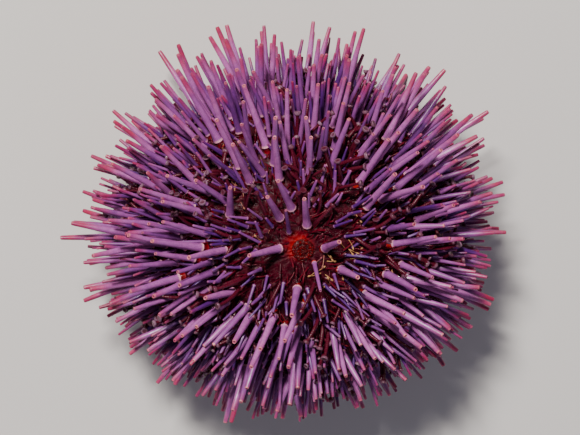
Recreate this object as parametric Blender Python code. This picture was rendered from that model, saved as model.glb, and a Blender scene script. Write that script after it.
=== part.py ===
"""Purple sea urchin, life size, at rest on its oral side. Metres, +Z up.

The test is turned from one outline and parted into ten sectors, the apical disc, the periproct and the
peristome, with five teeth in the mouth. Each sector is one solid with the spines that grow from it.
Spines are laid out round the pole, then the whole is moved so that the origin is on the floor at its middle.
"""

import math
import random
from collections import namedtuple

import bmesh
import bpy
import numpy as np
from mathutils import Matrix, Vector

# The test: its outline is a superellipse above the ambitus and a flatter one below it
TEST_RADIUS = 0.0336
TEST_STRETCH = 1.05
CROWN_HEIGHT = 0.019
ORAL_DEPTH = 0.013
CROWN_ROUNDNESS = 2.25
ORAL_ROUNDNESS = 2.9
ORAL_LIFT = 0.005
OUTLINE_STEPS = 9
TURN_STEPS = 40

# How the test is parted
SECTOR_COUNT = 5
AMBULACRUM_SPAN = math.radians(30)
FIRST_AMBULACRUM = math.radians(7)
APICAL_RADIUS = 0.0064
APICAL_DEPTH = 0.003
PERIPROCT_RADIUS = 0.0024
PERIPROCT_DEPTH = 0.0015
PERISTOME_RADIUS = 0.011
PERISTOME_DEPTH = 0.005
GAP = 0.0003

# The mouth
LIP_RADIUS = 0.0042
LIP_DROP = 0.0008
MOUTH_RADIUS = 0.0027
MOUTH_DEPTH = 0.0026
TOOTH_HEIGHT = 0.0032
TOOTH_ROOT_REACH = (0.0010, 0.0022)
TOOTH_ROOT_HALF_WIDTH = (0.00045, 0.0008)
TOOTH_TIP_REACH = (0.00045, 0.0009)
TOOTH_TIP_HALF_WIDTH = (0.00012, 0.0003)

# Spines: radius at the root and at the tip, and length, for each size
SIZES = {
    "primary": (0.00082, 0.00044, 0.0142),
    "second": (0.00066, 0.00036, 0.0118),
    "between": (0.00054, 0.00032, 0.0104),
    "fine": (0.00046, 0.00028, 0.0086),
}
SPINE_SIDES = 4
ROOT_DEPTH = 0.0016
SPINE_GAP = 0.00035

# How a spine stands: leant outwards, most just off the pole, combed one way, with a draw of its own
CROWN_LEAN = math.radians(32)
CROWN_LEAN_RISE = 0.45
ORAL_LEAN = math.radians(18)
COMBED_TOWARDS = math.radians(120)
COMBED_BY = 0.2
LEAN_SPREAD = math.radians(8)

# How long it is beside its size: by how far down it stands, longer towards one side, with a draw of its own
# of a least, a spread and a most, and shortened where it finds no room at full length
LENGTH_DOWN = ((0, 0.2, 0.5, 0.68, 0.8, 1), (0.88, 1.0, 1.02, 0.9, 0.72, 0.5))
LONGEST_TOWARDS = math.radians(100)
LENGTH_SWING = 0.25
SWING_DOWN = ((0, 0.4, 0.7, 1), (0, 1, 1, 0))
LENGTH_SPREAD = (-0.16, 0.07, 0.14)
SHORTENED = 0.8

# How rows close up towards both ends of a column, and how far a root is shifted from its place
ROWS_DOWN = ((0, 0.3, 0.65, 1), (0.82, 1.0, 1.0, 0.85))
ROOT_SHIFT_ROUND = 0.05
ROOT_SHIFT_DOWN = 0.1

# The foot that is kept clear of the parts beside its own: its height, and its rings and points in a ring
FOOT_CHECK = (0.002, 6, 8)

# A spine that points down more steeply than this, and is within this many lengths of the floor, ends on it
STANDING_SLOPE = -0.5
STANDING_REACH = 1.45

TRIES = 14
SEED = 7

# Columns of spines in a sector: place across its half width, size, first and last part of the way down,
# distance between rows and how far along that distance the first one starts
COLUMNS = {
    "interambulacrum": (
        (-0.42, "primary", 0.12, 1.00, 0.0042, 0.25),
        (0.42, "primary", 0.12, 1.00, 0.0042, 0.75),
        (0.02, "second", 0.14, 0.92, 0.0041, 0.50),
        (-0.80, "second", 0.18, 0.88, 0.0041, 0.10),
        (0.80, "second", 0.18, 0.88, 0.0041, 0.60),
    ),
    "ambulacrum": (
        (-0.38, "primary", 0.14, 1.00, 0.0042, 0.60),
        (0.38, "primary", 0.14, 1.00, 0.0042, 0.10),
        (-0.80, "fine", 0.24, 0.88, 0.0044, 0.30),
        (0.80, "fine", 0.24, 0.88, 0.0044, 0.80),
        (0.00, "fine", 0.28, 0.86, 0.0046, 0.50),
    ),
}
AMBULACRAL_SIZE = 0.88

# Spines that stand between the columns wherever there is room: size, how many draws are made, and the first
# and last part of the way down
BETWEEN = ("between", 640, 0.20, 0.80)

# The spines round the pole, as the specimen holds them: turn and distance from the pole, lean from
# upright, the way it leans, length, and size
CROWN_SPINES = (
    (127, 0.0076, 40, 120, 0.0120, "primary"),
    (80, 0.0053, 42, 102, 0.0120, "primary"),
    (172, 0.0036, 44, 180, 0.0115, "primary"),
    (3, 0.0044, 20, 60, 0.0118, "primary"),
    (-31, 0.0091, 12, 8, 0.0118, "primary"),
    (-97, 0.0078, 24, -121, 0.0120, "primary"),
    (-41, 0.0161, 48, -20, 0.0125, "primary"),
    (-46, 0.0216, 68, -35, 0.0135, "primary"),
    (-50, 0.0036, 24, -87, 0.0110, "fine"),
    (126, 0.0048, 40, 104, 0.0105, "fine"),
    (101, 0.0094, 46, 117, 0.0125, "primary"),
    (153, 0.0168, 42, 95, 0.0120, "primary"),
    (-147, 0.0170, 38, 175, 0.0120, "primary"),
    (-121, 0.0186, 30, -140, 0.0120, "primary"),
    (-87, 0.0123, 42, -128, 0.0125, "primary"),
)

# How far each may be moved to clear the parting cuts, and the arm that makes a distance of a turn
CROWN_NUDGES = (-0.0008, -0.0004, 0, 0.0004, 0.0008)
CROWN_NUDGE_ARM = 0.012

TEST_COLOUR = (0.20, 0.03, 0.09, 1)
SPINE_COLOUR = (0.30, 0.15, 0.42, 1)
DISC_COLOUR = (0.35, 0.04, 0.06, 1)
TOOTH_COLOUR = (0.85, 0.82, 0.74, 1)

# Sizes that follow
AMBITUS_LEVEL = ORAL_LIFT + ORAL_DEPTH
POLE_LEVEL = AMBITUS_LEVEL + CROWN_HEIGHT
PITCH = 2 * math.pi / SECTOR_COUNT
SMOOTH_UP_TO = math.radians(75)
CUTTER_REACH = 0.08
OUTLINE_SAMPLES = 721
DISC = "apical_disc"

Spine = namedtuple("Spine", "node root axis length root_radius tip_radius")
Home = namedtuple("Home", "node kind middle half")


def outline_point(turn):
    """Radius and height of the outline: a quarter turn up is the pole, a quarter turn down the mouth."""
    above = turn >= 0
    power = 2 / (CROWN_ROUNDNESS if above else ORAL_ROUNDNESS)
    rise = CROWN_HEIGHT if above else -ORAL_DEPTH
    radius = TEST_RADIUS * max(math.cos(turn), 0) ** power
    return radius, AMBITUS_LEVEL + rise * abs(math.sin(turn)) ** power


def outline_run():
    """Points down the outline from the pole, and how far along it each lies."""
    turns = np.linspace(math.pi / 2, -math.pi / 2, OUTLINE_SAMPLES)
    points = np.array([outline_point(turn) for turn in turns])
    steps = np.hypot(*np.diff(points, axis=0).T)
    return points, np.concatenate([[0], np.cumsum(steps)])


RUN_POINTS, RUN = outline_run()


def surface_point(way, turn):
    """A point of the test, a distance down from the pole and a turn round it."""
    radius = np.interp(way, RUN, RUN_POINTS[:, 0])
    height = np.interp(way, RUN, RUN_POINTS[:, 1])
    across = radius * math.cos(turn) * TEST_STRETCH
    return Vector((across, radius * math.sin(turn) / TEST_STRETCH, height))


def outward(point):
    """The way straight out of the test at a point of it."""
    above = point.z >= AMBITUS_LEVEL
    roundness = CROWN_ROUNDNESS if above else ORAL_ROUNDNESS
    rise = CROWN_HEIGHT if above else ORAL_DEPTH
    x, y = point.x / TEST_STRETCH, point.y * TEST_STRETCH
    part = max(math.hypot(x, y) / TEST_RADIUS, 1e-6)
    level = (point.z - AMBITUS_LEVEL) / rise
    pull = part ** (roundness - 2) / TEST_RADIUS**2
    lift = math.copysign(abs(level) ** (roundness - 1), level) / rise
    return Vector((x / TEST_STRETCH * pull, y * TEST_STRETCH * pull, lift)).normalized()


def within_test(points, swell):
    """Which points lie inside the test made bigger all round by a distance."""
    level = points[:, 2] - AMBITUS_LEVEL
    above = level >= 0
    rise = np.where(above, CROWN_HEIGHT, ORAL_DEPTH) + swell
    roundness = np.where(above, CROWN_ROUNDNESS, ORAL_ROUNDNESS)
    spread = np.hypot(points[:, 0] / TEST_STRETCH, points[:, 1] * TEST_STRETCH)
    return (spread / (TEST_RADIUS + swell)) ** roundness + (np.abs(level) / rise) ** roundness < 1


def homes():
    """Each sector of the test: the node's name, its kind, its middle and half its span."""
    found = []
    half = AMBULACRUM_SPAN / 2
    for index in range(SECTOR_COUNT):
        middle = FIRST_AMBULACRUM + index * PITCH
        between = middle + PITCH / 2
        found.append(Home(f"ambulacrum_{index + 1}", "ambulacrum", middle, half))
        found.append(Home(f"interambulacrum_{index + 1}", "interambulacrum", between, PITCH / 2 - half))
    return found


def from_middle(home, turn):
    """A turn measured from the middle of a sector, the short way round."""
    return (turn - home.middle + math.pi) % (2 * math.pi) - math.pi


def spine_ring(spine, way, radius, sides):
    """Points round a spine, a distance along it from its root."""
    across = spine.axis.orthogonal().normalized()
    other = spine.axis.cross(across)
    middle = spine.root + spine.axis * way
    turns = [2 * math.pi * side / sides for side in range(sides)]
    return [middle + (across * math.cos(turn) + other * math.sin(turn)) * radius for turn in turns]


def keeps_home(spine, home):
    """Whether the foot of a spine stays clear of the parts beside its own."""
    height, count, sides = FOOT_CHECK
    ways = np.linspace(-ROOT_DEPTH, height, count)
    rings = [spine_ring(spine, way, spine.root_radius, sides) for way in ways]
    points = np.array([point for ring in rings for point in ring])
    points = points[within_test(points, GAP)]
    spread = np.hypot(points[:, 0], points[:, 1])
    if home is None:
        fits = spread < APICAL_RADIUS - GAP / 2
        return bool(np.all(fits & (spread > PERIPROCT_RADIUS + GAP / 2)))
    turns = np.abs(from_middle(home, np.arctan2(points[:, 1], points[:, 0])))
    inner = np.where(points[:, 2] > AMBITUS_LEVEL, APICAL_RADIUS, PERISTOME_RADIUS)
    in_span = spread * np.sin(home.half - turns) > GAP / 2
    return bool(np.all(in_span & (spread > inner + GAP / 2)))


def clear_of(spine, placed):
    """Whether a spine passes every other one with the gap between."""
    if not placed:
        return True
    start = np.array(spine.root)
    run = np.array(spine.axis) * spine.length
    starts = np.array([other.root for other in placed])
    runs = np.array([other.axis * other.length for other in placed])
    between = start - starts
    own, theirs, both = run @ run, (runs * runs).sum(1), runs @ run
    along, beside = between @ run, (between * runs).sum(1)
    spread = np.maximum(own * theirs - both * both, 1e-18)
    here = np.clip((both * beside - theirs * along) / spread, 0, 1)
    there = np.clip((both * here + beside) / theirs, 0, 1)
    here = np.clip((both * there - along) / own, 0, 1)
    apart = np.linalg.norm(between + here[:, None] * run - there[:, None] * runs, axis=1)
    roots = np.array([other.root_radius for other in placed])
    tips = np.array([other.tip_radius for other in placed])
    thick = roots + (tips - roots) * there
    thick = thick + spine.root_radius + (spine.tip_radius - spine.root_radius) * here
    return bool(np.all(apart > thick + SPINE_GAP))


def leant(tilt):
    """How far from upright a spine stands where the test slopes by a tilt: outwards, most off the pole."""
    part = tilt / (math.pi / 2)
    if part < 1:
        return tilt + CROWN_LEAN * math.sin(math.pi * part**CROWN_LEAN_RISE)
    return tilt + ORAL_LEAN * math.sin(2 * tilt)


def spine_axis(point, chance, spread):
    """Which way a spine points: out of the test, leant outwards and combed, with a draw of its own."""
    straight = outward(point)
    flat = Vector((straight.x, straight.y, 0))
    flat = flat.normalized() if flat.length > 1e-6 else Vector((1, 0, 0))
    tilt = leant(math.acos(max(-1, min(1, straight.z))))
    axis = flat * math.sin(tilt) + Vector((0, 0, math.cos(tilt)))
    combed = COMBED_BY * max(axis.z, 0) ** 0.5
    axis += Vector((math.cos(COMBED_TOWARDS), math.sin(COMBED_TOWARDS), 0)) * combed
    side = axis.orthogonal().normalized()
    axis += side * chance.gauss(0, spread) + axis.cross(side) * chance.gauss(0, spread)
    return axis.normalized()


def spine_length(point, size, part, chance):
    """Length by size, by how far down the test it stands, and longer on the side it is combed towards."""
    facing = math.cos(math.atan2(point.y, point.x) - LONGEST_TOWARDS)
    swing = 1 + LENGTH_SWING * facing * np.interp(part, *SWING_DOWN)
    least, spread, most = LENGTH_SPREAD
    own = 1 + max(least, min(most, chance.gauss(0, spread)))
    return SIZES[size][2] * np.interp(part, *LENGTH_DOWN) * swing * own


def settled(spine):
    """The spine as the floor lets it stand: ended flat on it, or lifted clear of it."""
    if spine.axis.z >= 0:
        return spine
    to_floor = spine.root.z / -spine.axis.z
    if spine.axis.z < STANDING_SLOPE and to_floor < spine.length * STANDING_REACH:
        return spine._replace(length=to_floor)
    lowest = spine.tip_radius + 2 * GAP
    if spine.root.z + spine.axis.z * spine.length >= lowest:
        return spine
    drop = (spine.root.z - lowest) / spine.length
    flat = Vector((spine.axis.x, spine.axis.y, 0)).normalized() * math.sqrt(1 - drop * drop)
    return spine._replace(axis=flat - Vector((0, 0, drop)))


def way_down(spread, crown=True):
    """How far down the outline from the pole it is at a radius, above the ambitus or below it."""
    upper = RUN_POINTS[:, 1] >= AMBITUS_LEVEL
    if crown:
        return np.interp(spread, RUN_POINTS[upper, 0], RUN[upper])
    return np.interp(-spread, -RUN_POINTS[~upper, 0], RUN[~upper])


def crown_spines():
    """The measured spines round the pole, each nudged the least that keeps it clear of the parting cuts."""
    found = []
    nudges = [(turn, out) for turn in np.radians(np.arange(-14, 15, 2)) for out in CROWN_NUDGES]
    nudges.sort(key=lambda nudge: math.hypot(nudge[0] * CROWN_NUDGE_ARM, nudge[1]))
    for turn, spread, lean, heading, length, size in CROWN_SPINES:
        lean, heading = math.radians(lean), math.radians(heading)
        flat = Vector((math.cos(heading), math.sin(heading), 0))
        axis = Vector((math.sin(lean) * flat.x, math.sin(lean) * flat.y, math.cos(lean)))
        for more_turn, more_spread in nudges:
            place = math.radians(turn) + more_turn
            root = surface_point(way_down(spread + more_spread), place)
            home = None
            if spread > APICAL_RADIUS:
                home = min(homes(), key=lambda item: abs(from_middle(item, place)) - item.half)
            spine = Spine(home.node if home else DISC, root, axis, length, *SIZES[size][:2])
            if keeps_home(spine, home) and clear_of(spine, found):
                found.append(spine)
                break
    return found


def column_spines(home, column, placed, chance):
    """One column of spines down a sector, each tried with less and less spread until it clears the rest."""
    across, size, first, last, distance, start = column
    thick, thin, _ = SIZES[size]
    scale = AMBULACRAL_SIZE if home.kind == "ambulacrum" else 1
    low, high = way_down(APICAL_RADIUS), way_down(PERISTOME_RADIUS, crown=False)
    way = low + (high - low) * first + distance * start + thick
    while way < low + (high - low) * last - thick:
        part = (way - low) / (high - low)
        for attempt in range(TRIES):
            turn = home.middle + home.half * (across + chance.uniform(-ROOT_SHIFT_ROUND, ROOT_SHIFT_ROUND))
            point = surface_point(way + chance.uniform(-ROOT_SHIFT_DOWN, ROOT_SHIFT_DOWN) * distance, turn)
            spread = LEAN_SPREAD * (1 - attempt / TRIES)
            shorter = 1 if attempt < TRIES // 2 else SHORTENED
            length = spine_length(point, size, part, chance) * scale * shorter
            axis = spine_axis(point, chance, spread)
            spine = settled(Spine(home.node, point, axis, length, thick * scale, thin * scale))
            if keeps_home(spine, home) and clear_of(spine, placed):
                placed.append(spine)
                break
        way += distance * np.interp(part, *ROWS_DOWN)


def random_way(chance, first, last):
    """A way down the test, drawn so that every part of its surface is as likely."""
    spreads = (RUN_POINTS[1:, 0] + RUN_POINTS[:-1, 0]) / 2
    areas = np.concatenate([[0], np.cumsum(spreads * np.diff(RUN))])
    low, high = np.interp((first, last), RUN, areas)
    return float(np.interp(chance.uniform(low, high), areas, RUN))


def between_spines(placed, chance):
    """Spines at random places of the test, kept where they clear the rest."""
    size, draws, first, last = BETWEEN
    thick, thin, _ = SIZES[size]
    low, high = way_down(APICAL_RADIUS), way_down(PERISTOME_RADIUS, crown=False)
    for _ in range(draws):
        way = random_way(chance, low + (high - low) * first, low + (high - low) * last)
        turn = chance.uniform(-math.pi, math.pi)
        home = min(homes(), key=lambda item: abs(from_middle(item, turn)) - item.half)
        point = surface_point(way, turn)
        length = spine_length(point, size, (way - low) / (high - low), chance)
        spine = settled(Spine(home.node, point, spine_axis(point, chance, LEAN_SPREAD), length, thick, thin))
        if keeps_home(spine, home) and clear_of(spine, placed):
            placed.append(spine)


def all_spines():
    chance = random.Random(SEED)
    placed = crown_spines()
    for size in SIZES:
        for home in homes():
            for column in COLUMNS[home.kind]:
                if column[1] == size:
                    column_spines(home, column, placed, chance)
    between_spines(placed, chance)
    return placed


def clear_scene():
    for obj in list(bpy.data.objects):
        bpy.data.objects.remove(obj, do_unlink=True)


def material(name, colour, roughness):
    made = bpy.data.materials.new(name)
    made.use_nodes = True
    shader = made.node_tree.nodes["Principled BSDF"]
    shader.inputs["Base Color"].default_value = colour
    shader.inputs["Roughness"].default_value = roughness
    shader.inputs["Metallic"].default_value = 0
    return made


def object_of(name, shape, collection=None):
    """A new object from a bmesh, with its faces turned outwards."""
    bmesh.ops.recalc_face_normals(shape, faces=shape.faces)
    mesh = bpy.data.meshes.new(name)
    shape.to_mesh(mesh)
    shape.free()
    made = bpy.data.objects.new(name, mesh)
    (collection or bpy.context.scene.collection).objects.link(made)
    return made


def turned(name, outline):
    """A closed solid of an outline of (radius, height) points that starts and ends on the axis."""
    shape = bmesh.new()
    points = [shape.verts.new((radius, 0, height)) for radius, height in outline]
    edges = [shape.edges.new(pair) for pair in zip(points, points[1:])]
    bmesh.ops.spin(
        shape,
        geom=points + edges,
        axis=(0, 0, 1),
        cent=(0, 0, 0),
        angle=2 * math.pi,
        steps=TURN_STEPS,
        use_merge=True,
    )
    bmesh.ops.remove_doubles(shape, verts=shape.verts, dist=1e-6)
    return object_of(name, shape)


def cutter(obj):
    obj.hide_render = True
    obj.display_type = "WIRE"
    return obj


def wedge(middle, half):
    """A cutter for one sector, held off its neighbours by half the gap on each side."""
    start = GAP / 2 / math.sin(half)
    corners = [(0, 0)] + [(math.cos(middle + turn), math.sin(middle + turn)) for turn in (-half, half)]
    shape = bmesh.new()
    base = []
    for x, y in corners:
        place = (start * math.cos(middle) + x * CUTTER_REACH, start * math.sin(middle) + y * CUTTER_REACH)
        base.append(shape.verts.new((*place, -CUTTER_REACH)))
    face = shape.faces.new(base)
    extruded = bmesh.ops.extrude_face_region(shape, geom=[face])
    top = [item for item in extruded["geom"] if isinstance(item, bmesh.types.BMVert)]
    bmesh.ops.translate(shape, verts=top, vec=(0, 0, 2 * CUTTER_REACH))
    return cutter(object_of("wedge", shape))


def drum(radius, low, high):
    """A round cutter between two levels."""
    shape = bmesh.new()
    bmesh.ops.create_cone(
        shape,
        cap_ends=True,
        segments=TURN_STEPS,
        radius1=radius,
        radius2=radius,
        depth=high - low,
        matrix=Matrix.Translation((0, 0, (low + high) / 2)),
    )
    return cutter(object_of("drum", shape))


def apply_modifiers(obj):
    graph = bpy.context.evaluated_depsgraph_get()
    graph.update()
    mesh = bpy.data.meshes.new_from_object(obj.evaluated_get(graph))
    obj.modifiers.clear()
    obj.data = mesh


def carved(obj, tool, operation):
    """Cuts an object by a tool, and takes the tool away."""
    modifier = obj.modifiers.new(operation.lower(), "BOOLEAN")
    modifier.operation = operation
    modifier.solver = "MANIFOLD"
    modifier.object = tool
    apply_modifiers(obj)
    bpy.data.objects.remove(tool)


def copy_of(obj, name):
    made = obj.copy()
    made.data = obj.data.copy()
    made.name = name
    made.hide_render = False
    bpy.context.scene.collection.objects.link(made)
    return made


def keep_largest_body(obj):
    """Leaves only the largest closed surface of a mesh."""
    shape = bmesh.new()
    shape.from_mesh(obj.data)
    left = set(shape.verts)
    bodies = []
    while left:
        body, edge = set(), [left.pop()]
        while edge:
            point = edge.pop()
            body.add(point)
            near = {line.other_vert(point) for line in point.link_edges} & left
            left -= near
            edge.extend(near)
        bodies.append(body)
    bodies.sort(key=len)
    stray = [point for body in bodies[:-1] for point in body]
    bmesh.ops.delete(shape, geom=stray, context="VERTS")
    shape.to_mesh(obj.data)
    shape.free()


def spine_object(spine, collection):
    """A tapered spine whose root is sunk in the test, its tip flat on the floor where it reaches it."""
    shape = bmesh.new()
    root = [shape.verts.new(p) for p in spine_ring(spine, -ROOT_DEPTH, spine.root_radius, SPINE_SIDES)]
    tip_points = spine_ring(spine, spine.length, spine.tip_radius, SPINE_SIDES)
    if (spine.root + spine.axis * spine.length).z < GAP:
        tip_points = [point - spine.axis * (point.z / spine.axis.z) for point in tip_points]
    tip = [shape.verts.new(point) for point in tip_points]
    shape.faces.new(root)
    shape.faces.new(tip)
    for side in range(SPINE_SIDES):
        after = (side + 1) % SPINE_SIDES
        shape.faces.new((root[side], root[after], tip[after], tip[side]))
    return object_of("spine", shape, collection)


def add_spines(obj, spines):
    """Fuses a node with the spines that grow from it."""
    grown = bpy.data.collections.new(f"{obj.name}_spines")
    bpy.context.scene.collection.children.link(grown)
    for spine in spines:
        if spine.node == obj.name:
            cutter(spine_object(spine, grown))
    modifier = obj.modifiers.new("spines", "BOOLEAN")
    modifier.operation = "UNION"
    modifier.solver = "MANIFOLD"
    modifier.operand_type = "COLLECTION"
    modifier.collection = grown
    apply_modifiers(obj)
    for spine in list(grown.objects):
        bpy.data.objects.remove(spine)
    bpy.data.collections.remove(grown)
    keep_largest_body(obj)


def finish_node(obj, finish, parent):
    obj.data.materials.clear()
    obj.data.materials.append(finish)
    for face in obj.data.polygons:
        face.use_smooth = True
    obj.data.set_sharp_from_angle(angle=SMOOTH_UP_TO)
    obj.parent = parent


def build_test():
    """The whole test, from which the sectors and the apical disc are copied and cut."""
    quarter = math.pi / 2
    turns = [quarter * step / OUTLINE_STEPS for step in range(OUTLINE_STEPS, -OUTLINE_STEPS, -1)]
    outline = [outline_point(turn) for turn in turns] + [(0, ORAL_LIFT)]
    test = turned("test", outline)
    test.data.transform(Matrix.Diagonal((TEST_STRETCH, 1 / TEST_STRETCH, 1, 1)))
    return cutter(test)


def build_sectors(test, spines, parent):
    finish = material("spined_test", SPINE_COLOUR, 0.5)
    above = POLE_LEVEL + CUTTER_REACH
    for home in homes():
        sector = copy_of(test, home.node)
        carved(sector, wedge(home.middle, home.half), "INTERSECT")
        carved(sector, drum(APICAL_RADIUS + GAP / 2, POLE_LEVEL - APICAL_DEPTH - GAP, above), "DIFFERENCE")
        mouth = drum(PERISTOME_RADIUS + GAP / 2, -CUTTER_REACH, ORAL_LIFT + PERISTOME_DEPTH + GAP)
        carved(sector, mouth, "DIFFERENCE")
        add_spines(sector, spines)
        finish_node(sector, finish, parent)


def build_crown(test, spines, parent):
    above = POLE_LEVEL + CUTTER_REACH
    disc = copy_of(test, DISC)
    carved(disc, drum(APICAL_RADIUS - GAP / 2, POLE_LEVEL - APICAL_DEPTH, above), "INTERSECT")
    pit = drum(PERIPROCT_RADIUS + GAP / 2, POLE_LEVEL - PERIPROCT_DEPTH - GAP, above)
    carved(disc, pit, "DIFFERENCE")
    add_spines(disc, spines)
    finish_node(disc, material("apical_plates", TEST_COLOUR, 0.5), parent)
    plug = copy_of(test, "periproct")
    carved(plug, drum(PERIPROCT_RADIUS - GAP / 2, POLE_LEVEL - PERIPROCT_DEPTH, above), "INTERSECT")
    finish_node(plug, material("periproct_skin", DISC_COLOUR, 0.4), parent)


def build_mouth(parent):
    rim = PERISTOME_RADIUS - GAP / 2
    roof = ORAL_LIFT + MOUTH_DEPTH
    outline = (
        (0, ORAL_LIFT + PERISTOME_DEPTH),
        (rim, ORAL_LIFT + PERISTOME_DEPTH),
        (rim, ORAL_LIFT + LIP_DROP),
        (LIP_RADIUS, ORAL_LIFT),
        (MOUTH_RADIUS, ORAL_LIFT),
        (MOUTH_RADIUS, roof),
        (0, roof),
    )
    finish_node(turned("peristome", outline), material("peristome_skin", TEST_COLOUR, 0.5), parent)
    finish = material("tooth_enamel", TOOTH_COLOUR, 0.3)
    for index in range(SECTOR_COUNT):
        turn = FIRST_AMBULACRUM + (index + 0.5) * PITCH
        finish_node(build_tooth(f"tooth_{index + 1}", roof - GAP, turn), finish, parent)


def build_tooth(name, root_level, turn):
    """One tooth: a chisel that narrows down to the middle of the mouth."""
    shape = bmesh.new()
    made = bmesh.ops.create_cube(shape, size=1)
    for point in made["verts"]:
        low, outer = point.co.z < 0, point.co.x > 0
        reach = (TOOTH_TIP_REACH if low else TOOTH_ROOT_REACH)[outer]
        half_width = (TOOTH_TIP_HALF_WIDTH if low else TOOTH_ROOT_HALF_WIDTH)[outer]
        level = root_level - (TOOTH_HEIGHT if low else 0)
        point.co = (reach, math.copysign(half_width, point.co.y), level)
    bmesh.ops.rotate(shape, verts=shape.verts, cent=(0, 0, 0), matrix=Matrix.Rotation(turn, 3, "Z"))
    return object_of(name, shape)


def centre_over_origin(parent):
    """Moves the whole so that the origin is at the middle of its box, on the floor."""
    places = [point.co for obj in parent.children for point in obj.data.vertices]
    for axis in (0, 1):
        ends = [place[axis] for place in places]
        parent.location[axis] = -(min(ends) + max(ends)) / 2


def main():
    clear_scene()
    urchin = bpy.data.objects.new("urchin", None)
    bpy.context.scene.collection.objects.link(urchin)
    spines = all_spines()
    test = build_test()
    build_sectors(test, spines, urchin)
    build_crown(test, spines, urchin)
    build_mouth(urchin)
    bpy.data.objects.remove(test)
    centre_over_origin(urchin)
    print(len(spines), "spines")


main()
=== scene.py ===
"""Purple sea urchin, life size: the skin, spines and soft parts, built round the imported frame.

The test, its sectors and the larger spines are laid out as in the solids, round the pole, and are then
moved to where the frame has the pole. Everything is in metres, +Z up, with the floor at zero.
"""

import math
import random
from collections import namedtuple

import bpy
import numpy as np
from mathutils import Matrix, Vector, kdtree, noise


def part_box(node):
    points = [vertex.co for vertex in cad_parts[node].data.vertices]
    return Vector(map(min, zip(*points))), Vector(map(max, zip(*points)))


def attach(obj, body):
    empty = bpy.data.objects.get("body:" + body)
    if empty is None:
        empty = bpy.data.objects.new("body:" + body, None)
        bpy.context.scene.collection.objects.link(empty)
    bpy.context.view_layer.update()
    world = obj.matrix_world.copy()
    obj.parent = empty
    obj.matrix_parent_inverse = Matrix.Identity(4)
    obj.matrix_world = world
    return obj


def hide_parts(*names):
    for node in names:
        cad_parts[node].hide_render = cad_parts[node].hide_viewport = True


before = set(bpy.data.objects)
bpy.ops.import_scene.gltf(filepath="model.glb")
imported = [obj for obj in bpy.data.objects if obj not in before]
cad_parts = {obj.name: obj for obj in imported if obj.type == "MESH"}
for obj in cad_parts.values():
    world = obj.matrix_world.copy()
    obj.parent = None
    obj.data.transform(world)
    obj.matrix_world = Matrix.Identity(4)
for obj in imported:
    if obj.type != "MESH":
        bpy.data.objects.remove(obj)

bl_info = {
    "name": "Purple Sea Urchin",
    "version": (1, 0, 0),
    "blender": (4, 5, 0),
    "location": "3D View > Sidebar > Urchin",
    "description": "Dresses the solids of a purple sea urchin with its skin, spines and soft parts",
    "category": "Object",
}

# The test, as in the solids
TEST_RADIUS = 0.0336
TEST_STRETCH = 1.05
CROWN_HEIGHT = 0.019
ORAL_DEPTH = 0.013
CROWN_ROUNDNESS = 2.25
ORAL_ROUNDNESS = 2.9
ORAL_LIFT = 0.005
SECTOR_COUNT = 5
AMBULACRUM_SPAN = math.radians(30)
FIRST_AMBULACRUM = math.radians(7)
APICAL_RADIUS = 0.0064
PERIPROCT_RADIUS = 0.0024
PERISTOME_RADIUS = 0.011
GAP = 0.0003

# The mouth, as in the solids
LIP_RADIUS = 0.0042
LIP_DROP = 0.0008
MOUTH_RADIUS = 0.0027
MOUTH_DEPTH = 0.0026
PERISTOME_DEPTH = 0.005
TOOTH_HEIGHT = 0.0032
TOOTH_ROOT_REACH = (0.0010, 0.0022)
TOOTH_ROOT_HALF_WIDTH = (0.00045, 0.0008)
TOOTH_TIP_REACH = (0.00045, 0.0009)
TOOTH_TIP_HALF_WIDTH = (0.00012, 0.0003)

# The larger spines, as in the solids: radius at the root and at the tip, and length, for each size
SIZES = {
    "primary": (0.00082, 0.00044, 0.0142),
    "second": (0.00066, 0.00036, 0.0118),
    "between": (0.00054, 0.00032, 0.0104),
    "fine": (0.00046, 0.00028, 0.0086),
}
ROOT_DEPTH = 0.0016
SPINE_GAP = 0.00035

# How a spine stands: leant outwards, most just off the pole, combed one way, with a draw of its own
CROWN_LEAN = math.radians(32)
CROWN_LEAN_RISE = 0.45
ORAL_LEAN = math.radians(18)
COMBED_TOWARDS = math.radians(120)
COMBED_BY = 0.2
LEAN_SPREAD = math.radians(8)

# How long it is beside its size: by how far down it stands, longer towards one side, with a draw of its own
# of a least, a spread and a most, and shortened where it finds no room at full length
LENGTH_DOWN = ((0, 0.2, 0.5, 0.68, 0.8, 1), (0.88, 1.0, 1.02, 0.9, 0.72, 0.5))
LONGEST_TOWARDS = math.radians(100)
LENGTH_SWING = 0.25
SWING_DOWN = ((0, 0.4, 0.7, 1), (0, 1, 1, 0))
LENGTH_SPREAD = (-0.16, 0.07, 0.14)
SHORTENED = 0.8

# How rows close up towards both ends of a column, and how far a root is shifted from its place
ROWS_DOWN = ((0, 0.3, 0.65, 1), (0.82, 1.0, 1.0, 0.85))
ROOT_SHIFT_ROUND = 0.05
ROOT_SHIFT_DOWN = 0.1

# The foot that is kept clear of the parts beside its own: its height, and its rings and points in a ring
FOOT_CHECK = (0.002, 6, 8)

# A spine that points down more steeply than this, and is within this many lengths of the floor, ends on it
STANDING_SLOPE = -0.5
STANDING_REACH = 1.45

TRIES = 14
SEED = 7

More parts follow.
